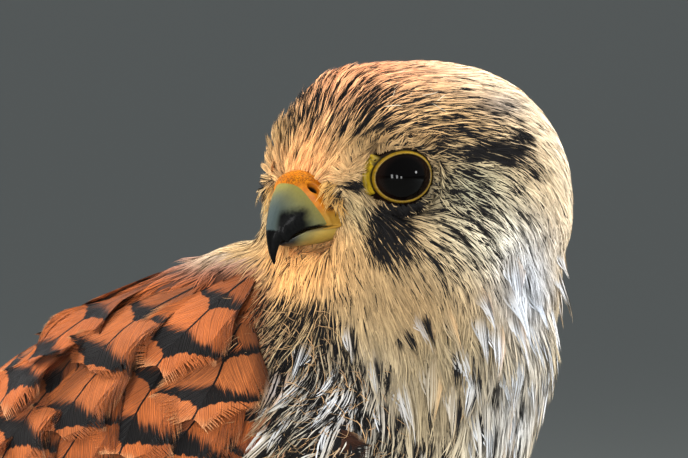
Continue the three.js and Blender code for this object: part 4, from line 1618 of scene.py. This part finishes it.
def tail():
    """Twelve quills, where j counts them from the middle to either side. The outer ones lie undermost."""
    behind = unit((-132, 0, -85))
    up = np.array((behind[2], 0, -behind[0]))
    quills = []
    for j in sorted(np.arange(12) - 5.5, key=abs, reverse=True):
        path = []
        for t in np.linspace(0, 1, 5):
            along = -6 + (160 - abs(j) * 1.6 + 4) * t
            aside = j * (1.1 + 1.6 * t)
            layer = 1.5 - 0.3 * abs(j) - 0.02 * aside**2
            place = np.array((1, aside, 87)) + behind * along + up * layer
            place[2] = max(place[2], 0.8 + 0.25 * (5.5 - abs(j)))
            path.append(place)
        quills.append((path, up, 16, 0.35 * np.sign(j) if abs(j) > 1 else 0.0))
    lay_quills("tail_feathers", TAIL, ["tail"], quills, srgb(176, 104, 62), 0.86)


# Feet: claws, and rows of scutes over the front of the leg and the toes
# Each toe's turn from straight ahead in degrees, and its length
TOES = {"hind": (172, 15), "inner": (-32, 20), "middle": (4, 28), "outer": (42, 21)}
FOOT = (69.3, 21.0)  # x and y of the left foot's middle
# The ridge of a claw, by how far beyond its toe's end and how high
CLAW_RIDGE = [(-1.6, 2.7), (1.2, 4.1), (3.8, 4.9), (6.2, 4.6), (7.7, 3.4), (8.5, 1.6), (8.75, 0.35)]
CLAW_RINGS, CLAW_POINTS = 26, 16


def toe_place(toe, side, ahead, high, aside=0.0):
    """A place by how far along a toe it lies, how high, and how far to the toe's side"""
    turn = math.radians(TOES[toe][0])
    way = np.array((math.cos(turn), math.sin(turn)))
    flat = np.array(FOOT) + way * ahead + np.array((-way[1], way[0])) * aside
    return np.array((flat[0], flat[1] * SIDES[side], high))


def claw(toe, side):
    reach, ridge = TOES[toe][1], np.array(CLAW_RIDGE)
    rings = []
    for t in np.linspace(0, 1, CLAW_RINGS):
        at = t * (len(ridge) - 1)
        i = min(int(at), len(ridge) - 2)
        ahead, high = (np.interp(at, range(len(ridge)), column) for column in ridge.T)
        way = unit(ridge[i + 1] - ridge[i])
        thick = 1.35 * (1 - t) ** 0.75 + 0.06
        ring = []
        for turn in np.linspace(0, 2 * math.pi, CLAW_POINTS, endpoint=False):
            out = math.sin(turn) * thick * 1.15
            ring.append(toe_place(toe, side, reach + ahead - way[1] * out, high + way[0] * out,
                                  math.cos(turn) * thick * 0.8))
        rings.append(ring)
    mesh = finished(loft(bmesh.new(), rings), "claw")
    tell(mesh, "along", np.repeat(np.linspace(0, 1, CLAW_RINGS), CLAW_POINTS))
    piece(f"horn_claw_{toe}_{side}", mesh, [CLAW], "claw", f"claw_{toe}_{side}")


def claw_colour(tree):
    grain = noise(tree, place_in(tree), 700, 3.0)
    base = mix(tree, attribute(tree, "along").ramp(0.0, 0.35), srgb(58, 54, 50), srgb(20, 19, 20))
    return mix(tree, grain * 0.4, base, srgb(44, 42, 42))


# A scute from its root to its free edge: how far along, and its underside and upper side off the flesh
SCUTE_PROFILE = [(-0.5, -0.25, -0.05), (-0.1, -0.2, 0.16), (0.35, -0.2, 0.26), (0.5, -0.2, 0.05)]
SHANK_LINE = np.array([(69, 5.5), (63, 24), (59.5, 41)])  # x and z along the middle of the shank
SHANK_SCUTES = 19
SCUTE_STEP = 1.9  # about how far apart those of the toes lie


def scute(bm, centre, way, up, radius, long, spread):
    """One horny plate, thin where it starts and thick at its free edge, round part of a toe or leg"""
    side = np.cross(way, up)
    turns = np.linspace(-spread, spread, 9)
    rings = []
    for along, low, high in SCUTE_PROFILE:
        ring = []
        for height, order in ((high, turns), (low, turns[::-1])):
            for turn in order:
                thin = height * math.cos(turn / spread * 1.45) if height > 0 else height
                out = up * math.cos(turn) + side * math.sin(turn)
                ring.append(centre + way * along * long + out * (radius + thin))
        rings.append(ring)
    loft(bm, rings)


def scutes(side):
    """The scutes of one foot and shank, as one piece"""
    bm = bmesh.new()
    for toe, (_, reach) in TOES.items():
        way = unit(toe_place(toe, side, 1, 0) - toe_place(toe, side, 0, 0))
        for ahead in np.linspace(3.2, reach - 1.2, round(reach / SCUTE_STEP)):
            high = np.interp(ahead, (3, reach * 0.5, reach), (3.0, 2.8, 1.9))
            scute(bm, toe_place(toe, side, ahead, high), way, np.array((0, 0, 1.0)), 2.35, 2.1, 1.15)
    for high in np.linspace(SHANK_LINE[0, 1], SHANK_LINE[-1, 1], SHANK_SCUTES):
        ahead = np.interp(high, SHANK_LINE[:, 1], SHANK_LINE[:, 0])
        centre = np.array((ahead, FOOT[1] * SIDES[side], high))
        scute(bm, centre, unit((0.25, 0, -1)), unit((1, 0, 0.25)), 2.45, 2.15, 1.3)
    piece("scutes_" + side, finished(bm, "scutes"), [SCUTES], "bare_skin")


def scute_colour(tree):
    worn = noise(tree, place_in(tree), 400, 3.0)
    base = mix(tree, worn.ramp(0.35, 0.7), srgb(226, 178, 44), srgb(208, 148, 30))
    return mix(tree, noise(tree, place_in(tree), 2200, 2.0).ramp(0.5, 0.75) * 0.4, base, srgb(140, 96, 30))


# Eyes
RING_WIDTH = 0.42  # how far the feathers keep off the opening, over the lid
# The lids, outwards from the edge of the opening: how far, how high off the eyeball, and the colour
LID_ROWS = [
    (-0.2, -0.25, DARK * 0.5),
    (-0.06, 0.08, DARK * 0.6),
    (0.05, 0.32, GOLD * 0.5),
    (0.17, 0.44, GOLD),
    (0.32, 0.42, GOLD),
    (0.43, 0.26, GOLD * 0.8),
    (0.5, 0.1, DARK * 0.6),
    (0.58, 0.04, DARK * 0.5),
]
APRON_ROWS = 12  # rows of the bare skin beyond the ring
APRON_TUCKED = 0.9  # how far it runs on under the feathers
LID_POINTS = 128
LID_FOLDS = 34  # wrinkles round the ring


def bare_reach(turn):
    """How far the bare skin shows beyond the ring: widest ahead of the eye and a little above"""
    aside = (turn - math.radians(8) + math.pi) % (2 * math.pi) - math.pi
    return 0.12 + 2.8 * np.exp(-((aside / math.radians(35)) ** 2))


def eye_place(side, ahead, up, out):
    """A place given from the middle of an eye: towards the bill, up and out"""
    local = EYE_MIDDLE + FRONT * ahead + np.array((0, 0, 1)) * up + OUT * out
    return from_head(local * (1, SIDES[side], 1))


def eye_colour(tree):
    grain = noise(tree, place_in(tree), 900)
    iris = mix(tree, attribute(tree, "spread").ramp(3.0, 4.6), (0.001, 0.0008, 0.0008), srgb(26, 15, 10))
    return mix(tree, grain * 0.5, iris, (0.0008, 0.0006, 0.0006))


def eyeball(side):
    """A ball whose clear front bulges out a little"""
    bm = bmesh.new()
    bmesh.ops.create_uvsphere(bm, u_segments=64, v_segments=40, radius=EYE_RADIUS * MM)
    spreads = []
    for v in bm.verts:
        ahead, up, out = np.array(v.co) / MM
        spread = math.hypot(ahead, up) if out > 0 else 9
        out += 0.35 * math.exp(-((spread / 3.2) ** 2))
        spreads.append(spread)
        v.co = Vector(eye_place(side, ahead, up, out)) * MM
    mesh = finished(bm, "eyeball")
    tell(mesh, "spread", spreads)
    piece("eyeball_" + side, mesh, [EYE], "eye", "eye_" + side)


def round_eye(side, turns, beyond, raised, rounded):
    """Places round the opening, so far beyond its edge and raised so high off the eyeball. Its curve is
    followed to the share rounded of its radius."""
    ahead = (EYE_OPENING[0] + beyond) * np.cos(turns)
    up = (EYE_OPENING[1] + beyond) * np.sin(turns)
    from_middle = np.minimum(np.hypot(ahead, up), EYE_RADIUS * rounded)
    out = np.sqrt(EYE_RADIUS**2 - from_middle**2) + raised
    return np.array([eye_place(side, a, u + EYE_LIFT, o) for a, u, o in zip(ahead, up, out)])


def lids(side):
    """The ring of the lids and, beyond a groove, the bare skin that runs in under the feathers"""
    turns = np.linspace(0, 2 * math.pi, LID_POINTS, endpoint=False)
    folds = 1 + 0.14 * np.sin(turns * LID_FOLDS)
    rings = [round_eye(side, turns, beyond, raised * folds, 0.97) for beyond, raised, _ in LID_ROWS]
    colours = [np.tile(colour, (LID_POINTS, 1)) for _, _, colour in LID_ROWS]
    reach = bare_reach(turns)
    for row in range(1, APRON_ROWS + 1):
        share = row / APRON_ROWS
        high = 0.05 + share * (-1.0 + 1.55 * ramp(0.5, 1.2, reach) + 0.8 * ramp(1.2, 2.6, reach))
        from_groove = share * (reach + APRON_TUCKED)
        bright = ramp(0.6, 1.3, reach) * ramp(0.05, 0.25, from_groove) * ramp(-0.5, 0.1, reach - from_groove)
        flat = round_eye(side, turns, LID_ROWS[-1][0] + from_groove, high * folds, 0.97)
        on_skin, normal = skin.nearest(flat)
        clear = ((flat - on_skin) * normal).sum(1)
        rings.append(flat + normal * np.maximum(3.15 * ramp(0, 0.5, bright) - 3 - clear, 0)[:, None])
        colours.append(DARK * 0.7 + (YELLOW * 0.8 - DARK * 0.7) * bright[:, None])
    mesh = finished(loft(bmesh.new(), rings, closed=False), "lids")
    tell(mesh, "paint", np.concatenate(colours))
    piece("lids_" + side, mesh, [LIDS], "bare_skin")


# Bill, in the head's frame. Each station: share of the way to the tip, then the ridge's x and z, the cutting
# edge's x and z, and the half width at that edge.
UPPER_BILL = [
    (0.0, 5, 0.5, 5, -6.4, 7.2),
    (0.2, 10.4, 2.1, 9.3, -6.5, 6.3),
    (0.32, 12.9, 1.95, 11.2, -6.6, 5.7),
    (0.43, 14.6, 0.6, 12.9, -6.7, 4.9),
    (0.54, 16.2, -1.3, 14.6, -6.9, 3.9),
    (0.64, 17.6, -3.5, 16.2, -7.7, 2.8),
    (0.7, 18.3, -4.9, 17.0, -8.6, 2.3),
    (0.75, 18.7, -6.1, 17.5, -8.3, 1.8),
    (0.84, 19.1, -8.0, 18.0, -9.1, 1.2),
    (0.93, 19.1, -10.2, 18.4, -10.7, 0.65),
    (1.0, 18.6, -12.0, 18.45, -12.1, 0.15),
]
LOWER_BILL = [
    (0.0, 5, -10.0, 5, -7.0, 7.2),
    (0.4, 10, -10.1, 10, -6.9, 5.7),
    (0.7, 13.4, -9.9, 13.6, -7.1, 4.1),
    (0.9, 15.5, -9.6, 15.7, -8.0, 2.5),
    (1.0, 16.5, -9.2, 16.6, -8.6, 1.2),
]
NOSTRIL = (12.1, 4.5, -0.3)
NOSTRIL_SLANT = unit((-0.55, 0.1, -0.84))
NOSTRIL_REACH = (1.15, 0.62)  # half length, slanting back and down, and half width
CERE_BACK, CERE_EDGE = 0.15, 0.415  # where the cere starts and ends on the ridge, as shares of the bill


def between(stations, share):
    """Reads a row of numbers between stations, smoothly"""
    stations = np.array(stations, float)
    i = int(np.clip(np.searchsorted(stations[:, 0], share, "right") - 1, 0, len(stations) - 2))
    before, a, b, after = (stations[np.clip(i + k, 0, len(stations) - 1)] for k in (-1, 0, 1, 2))
    span = b[0] - a[0]
    t = (share - a[0]) / span
    start = span * (b[1:] - before[1:]) / (b[0] - before[0])
    end = span * (after[1:] - a[1:]) / (after[0] - a[0])
    bend = a[1:] * (2 * t**3 - 3 * t**2 + 1) + b[1:] * (3 * t**2 - 2 * t**3)
    return bend + start * (t**3 - 2 * t**2 + t) + end * (t**3 - t**2)


def from_nostril(place):
    """0 in the middle of the nearer nostril and 1 on its rim"""
    away = either_side(place) - NOSTRIL
    down = away @ NOSTRIL_SLANT
    wide = math.sqrt(max(away @ away - down * down, 0))
    return math.hypot(down / NOSTRIL_REACH[0], wide / NOSTRIL_REACH[1])


def bill_place(stations, share, angle, grow=0.0):
    """On the arch over the bill: angle is 0 on the ridge and a quarter turn at either cutting edge"""
    ridge_x, ridge_z, edge_x, edge_z, half = between(stations, share)
    drop = 1 - math.cos(angle)
    aside = math.copysign(abs(math.sin(angle)) ** 0.9, angle)
    place = np.array((ridge_x + (edge_x - ridge_x) * drop, half * aside, ridge_z + (edge_z - ridge_z) * drop))
    outward = unit((ridge_x - edge_x, 0, ridge_z - edge_z)) * math.cos(angle) + (0, math.sin(angle), 0)
    return place + outward * grow


def bill_part(name, stations, shares, finish, replaced, roof, nostrils=False):
    """One half of the bill: an arch over each share of its length, and a hollow roof of the mouth under it"""
    rings, told = [], []
    for share in shares:
        ring = []
        for angle in np.linspace(-math.pi / 2, math.pi / 2, 41):
            place = bill_place(stations, share, angle)
            if nostrils:
                sunk = 1.6 * math.exp(-((from_nostril(place) / 1.25) ** 4))
                place = bill_place(stations, share, angle, -sunk)
            ring.append(place)
        left, right = ring[-1], ring[0]
        for t in (0.15, 0.5, 0.85):
            inner = left + (right - left) * t
            ring.append(inner + (0, 0, roof * math.sin(math.pi * t) * min(1, abs(left[1]) / 3)))
        told += ring
        rings.append([from_head(p) for p in ring])
    mesh = finished(loft(bmesh.new(), rings), name)
    tell(mesh, "place", told)
    piece(name, mesh, [finish], "horn", replaced)


def cere():
    """The soft skin over the root of the bill, with a rim round each nostril"""
    rings, told, pits = [], [], []
    for along in np.linspace(0, 1, 56):
        ring = []
        for angle in np.linspace(-math.pi / 2, math.pi / 2, 141):
            front = CERE_EDGE - 0.1 * (1 - math.cos(angle)) + 0.006 * math.cos(angle * 6)
            share = CERE_BACK + (front - CERE_BACK) * along
            swell = 0.45 * (1 - along**6) + 0.15 * math.exp(-(((along - 0.8) / 0.15) ** 2)) - 0.1
            far = from_nostril(bill_place(UPPER_BILL, share, angle, swell))
            pit = math.exp(-(far**4))
            rim = math.exp(-(((far - 1.3) / 0.3) ** 2))
            ring.append(bill_place(UPPER_BILL, share, angle, swell - 1.5 * pit + 0.2 * rim))
            pits.append(pit)
        told += ring
        rings.append([from_head(p) for p in ring])
    mesh = finished(loft(bmesh.new(), rings, closed=False, all_round=False), "cere")
    tell(mesh, "place", told)
    tell(mesh, "pit", pits)
    piece("cere_skin", mesh, [CERE], "cere", "cere")


def gape(side):
    """The soft edge round the corner of the mouth"""
    rings, told = [], []
    turns = np.linspace(0, 2 * math.pi, 12, endpoint=False)
    for t in np.linspace(0, 1, 28):
        turn = math.pi * (t - 0.5)
        inner, high = math.cos(turn), math.sin(turn)
        bend = np.array((11.6 - 2.7 * inner, 5.4 + 1.35 * inner, -6.85 + 0.3 * high))
        thick = 0.3 * math.sin(math.pi * min(max(t, 0.02), 0.98)) ** 0.5
        ring = [bend + thick * np.array((0.3 * math.cos(a), math.cos(a), math.sin(a))) for a in turns]
        told += ring
        rings.append([from_head(p * (1, SIDES[side], 1)) for p in ring])
    mesh = finished(loft(bmesh.new(), rings), "gape")
    tell(mesh, "place", told)
    tell(mesh, "pit", np.zeros(len(told)))
    piece("gape_" + side, mesh, [CERE], "cere")


def horn_colour(tree):
    """Olive yellow by the cere, slate on the ridge, black at the tip and in a patch above the cutting edge"""
    place = attribute(tree, "place", "Vector")
    ahead, aside, high = parts_of(tree, place)
    wander = noise(tree, place, 0.35, 3.0) - 0.5
    fine = noise(tree, place, 2.2, 3.0) - 0.5
    to_front = ahead + high * -0.75 + wander * 3.0
    base = mix(tree, to_front.ramp(13.5, 20.0), srgb(124, 116, 60), srgb(82, 88, 72))
    base = mix(tree, abs(aside).ramp(3.2, 0.4) * high.ramp(1.5, -4.0) * 0.85, base, srgb(58, 70, 74))
    blotch = (ahead + wander * 2.0).ramp(12.6, 14.6) * (high + fine).ramp(-2.4, -4.2)
    blotch = blotch * abs(aside).ramp(0.9, 1.8)
    seam = (high + fine * 0.4).ramp(-6.1, -6.5) * ahead.ramp(11.0, 12.5)
    tip = (high + wander).ramp(-6.4, -8.6)
    base = mix(tree, blotch.most(tip).most(seam), base, srgb(7, 7, 8))
    return mix(tree, (fine + 0.5).ramp(0.35, 0.8) * 0.12, base, srgb(44, 46, 40))


def lower_horn_colour(tree):
    place = attribute(tree, "place", "Vector")
    ahead, _, high = parts_of(tree, place)
    wander = noise(tree, place, 0.5, 3.0) - 0.5
    base = mix(tree, (ahead + wander * 3.0).ramp(10.5, 15.0), srgb(178, 148, 66), srgb(110, 104, 62))
    base = mix(tree, high.ramp(-7.6, -7.1) * 0.7, base, srgb(60, 50, 30))
    return mix(tree, (ahead + wander).ramp(14.2, 15.8), base, srgb(24, 25, 25))


def horn_relief(tree):
    place = attribute(tree, "place", "Vector")
    ahead, aside, high = parts_of(tree, place)
    growth = noise(tree, vector_of(tree, ahead - high, aside * 3.0, (ahead + high) * 0.4), 1.2, 3.0)
    return bump(tree, growth, 0.14, 0.5)


def cere_colour(tree):
    place = attribute(tree, "place", "Vector")
    high = parts_of(tree, place)[2]
    wander = noise(tree, place, 0.8, 3.0)
    base = mix(tree, (wander - 0.1).ramp(0.2, 0.7), srgb(188, 112, 8), srgb(162, 84, 4))
    specks = (high + wander).ramp(0.2, 1.8) * noise(tree, place, 3.5, 3.0).ramp(0.42, 0.6)
    base = mix(tree, specks * 0.8, base, srgb(96, 54, 16))
    base = mix(tree, high.ramp(-2.6, -5.6) * 0.7, base, srgb(138, 116, 46))
    # painted shade in the nostril's hollow: darker into its pit and near black in its middle
    base = mix(tree, attribute(tree, "pit").ramp(0.0, 0.2) * 0.5, base, srgb(120, 62, 10))
    return mix(tree, attribute(tree, "pit").ramp(0.25, 0.6), base, (0.004, 0.003, 0.003))


def lid_colour(tree):
    spots = noise(tree, place_in(tree), 1600, 2.0)
    return mix(tree, spots.ramp(0.5, 0.75) * 0.5, attribute(tree, "paint", "Color"), srgb(60, 44, 10))


def skin_relief(scale, depth):
    return lambda tree: bump(tree, noise(tree, place_in(tree), scale, 3.0), depth, 0.6)


def face():
    shares = np.concatenate([np.linspace(0.05, 0.6, 56), np.linspace(0.61, 1.0, 44)])
    bill_part("upper_bill", UPPER_BILL, shares, HORN, "bill_upper", 1.0, nostrils=True)
    bill_part("lower_bill", LOWER_BILL, np.linspace(0.02, 1, 32), LOWER_HORN, "bill_lower", -0.8)
    cere()
    for side in SIDES:
        eyeball(side)
        lids(side)
        gape(side)


def build():
    dress_skin()
    face()
    head_feathers()
    rim_feathers()
    cere_bristles()
    front_feathers()
    wisps()
    back_feathers()
    wing_quills("primaries", PRIMARIES, 18, 13, -0.6, QUILL, "wing_tip_", srgb(84, 62, 50))
    wing_quills("secondaries", SECONDARIES, 8, 15, 1.7, SECONDARY, "", srgb(168, 98, 60))
    tail()
    for side in SIDES:
        scutes(side)
        for toe in TOES:
            claw(toe, side)


EYE = material("eye", eye_colour, 0.3, Coat_Weight=1.0, Coat_Roughness=0.02, Coat_IOR=1.18,
               Specular_IOR_Level=0.0)
LIDS = material("lids", lid_colour, 0.42, skin_relief(1400, 0.08))
HORN = material("horn", horn_colour, 0.42, horn_relief, Coat_Weight=0.25, Coat_Roughness=0.12,
                Coat_IOR=1.15, Specular_IOR_Level=0.04)
LOWER_HORN = material("lower_horn", lower_horn_colour, 0.45, horn_relief, Coat_Weight=0.1, Coat_Roughness=0.2)
CERE = material("cere", cere_colour, 0.45, skin_relief(1100, 0.12), Coat_Weight=0.05, Coat_Roughness=0.3,
                Specular_IOR_Level=0.2)
SOFT = soft_feathers("soft_feathers")
CLAW = material("claw", claw_colour, 0.3, skin_relief(900, 0.08), Coat_Weight=0.3, Coat_Roughness=0.1)
SCUTES = material("scutes", scute_colour, 0.45, skin_relief(1500, 0.1))
QUILL = firm_feathers("primary_feathers", 170.0, 0.1, bars=(), point=0.0, fringe=(1.0, 1.04),
                      edge_at=(1.24, 1.36))
SECONDARY = firm_feathers("secondary_feathers", 150.0, 0.12, bars=[(0.1 + 0.14 * i, 0.055) for i in range(7)],
                          point=0.01, fringe=(1.0, 1.06), edge_at=(1.24, 1.36))
TAIL_BARS = [(0.1 + 0.09 * i, 0.02) for i in range(9)] + [(0.93, 0.07)]
TAIL = firm_feathers("tail_feathers", 200.0, 0.08, bars=TAIL_BARS, point=0.006, fringe=(0.972, 0.99),
                     edge_at=(1.3, 1.42))
BARRED = firm_feathers("barred_feathers", 62.0, 0.5, bars=((0.42, 0.1), (0.795, 0.145)), point=0.075,
                       fringe=(0.95, 1.05), edge_at=(0.9, 1.1), shaft=0.02, fade=0.1, rise=0.35, thin=0.05)


# Camera, light and floor
# The panes of light that show in the eye: name, how far to the right of the head, and height
PANES = [("left_pane", -620, 0.5), ("middle_pane", -230, 0.42), ("right_pane", 130, 0.25)]


def studio():
    right = np.array((math.cos(CAMERA_AZIMUTH), math.sin(CAMERA_AZIMUTH), 0))
    look = np.array((-right[1] * math.cos(CAMERA_ELEVATION), right[0] * math.cos(CAMERA_ELEVATION),
                     -math.sin(CAMERA_ELEVATION)))
    up = np.cross(right, look)
    shown = np.array(HEAD_PIXEL) - np.array(PICTURE) / 2
    target = HEAD_AT - right * shown[0] / PIXELS_PER_MM + up * shown[1] / PIXELS_PER_MM
    camera = bpy.data.objects.new("camera", bpy.data.cameras.new("camera"))
    camera.data.sensor_width = SENSOR
    camera.data.lens = SENSOR * CAMERA_DISTANCE * PIXELS_PER_MM / PICTURE[0]
    camera.location = Vector(target - look * CAMERA_DISTANCE) * MM
    camera.rotation_mode = "QUATERNION"
    camera.rotation_quaternion = Vector(look).to_track_quat("-Z", "Y")
    camera.data.clip_start, camera.data.clip_end = 0.05, 100
    bpy.context.scene.collection.objects.link(camera)
    bpy.context.scene.camera = camera

    def lamp(name, aside, behind, high, size, power, colour=(1, 1, 1), in_eye_too=False, tall=0):
        """A lamp aimed at the bird: how far to the right of the head, towards the camera and up it stands in
        millimetres, its size in metres and its power in watts"""
        light = bpy.data.lights.new(name, "AREA")
        light.shape, light.size, light.energy, light.color = "DISK", size, power, colour
        if tall:
            light.shape, light.size_y = "RECTANGLE", tall
        lit = bpy.data.objects.new(name, light)
        at = HEAD_AT + right * aside - look * behind + np.array((0, 0, high))
        lit.location = Vector(at) * MM
        lit.rotation_mode = "QUATERNION"
        lit.rotation_quaternion = (Vector(HEAD_AT - (0, 0, 30)) * MM - lit.location).to_track_quat("-Z", "Y")
        lit.visible_glossy = in_eye_too
        bpy.context.scene.collection.objects.link(lit)

    lamp("key", -500, 900, 600, 0.5, 10.0, (1, 0.96, 0.9))
    lamp("rim", -900, -500, 500, 0.6, 26, (1, 0.95, 0.88))
    lamp("top", 300, -500, 1100, 0.6, 26)
    lamp("side", 1100, -100, 300, 0.8, 28, (0.9, 0.95, 1))
    for name, aside, tall in PANES:
        lamp(name, aside, 1300, -150, 0.14, 15 * tall, in_eye_too=True, tall=tall)
    lamp("far_window", 1400, 500, 300, 0.2, 5.0, in_eye_too=True)

    world = bpy.data.worlds.new("room")
    bpy.context.scene.world = world
    world.use_nodes = True
    world.node_tree.nodes["Background"].inputs["Color"].default_value = (0.9, 0.95, 1, 1)
    world.node_tree.nodes["Background"].inputs["Strength"].default_value = 0.36

    bm = bmesh.new()
    bmesh.ops.create_grid(bm, x_segments=1, y_segments=1, size=40)
    mesh = bpy.data.meshes.new("floor")
    bm.to_mesh(mesh)
    bm.free()
    floor = bpy.data.objects.new("floor", mesh)
    bpy.context.scene.collection.objects.link(floor)
    mesh.materials.append(material("floor", lambda tree: srgb(122, 126, 122), 0.9))
    bpy.context.scene.view_settings.view_transform = "Standard"


build()
studio()
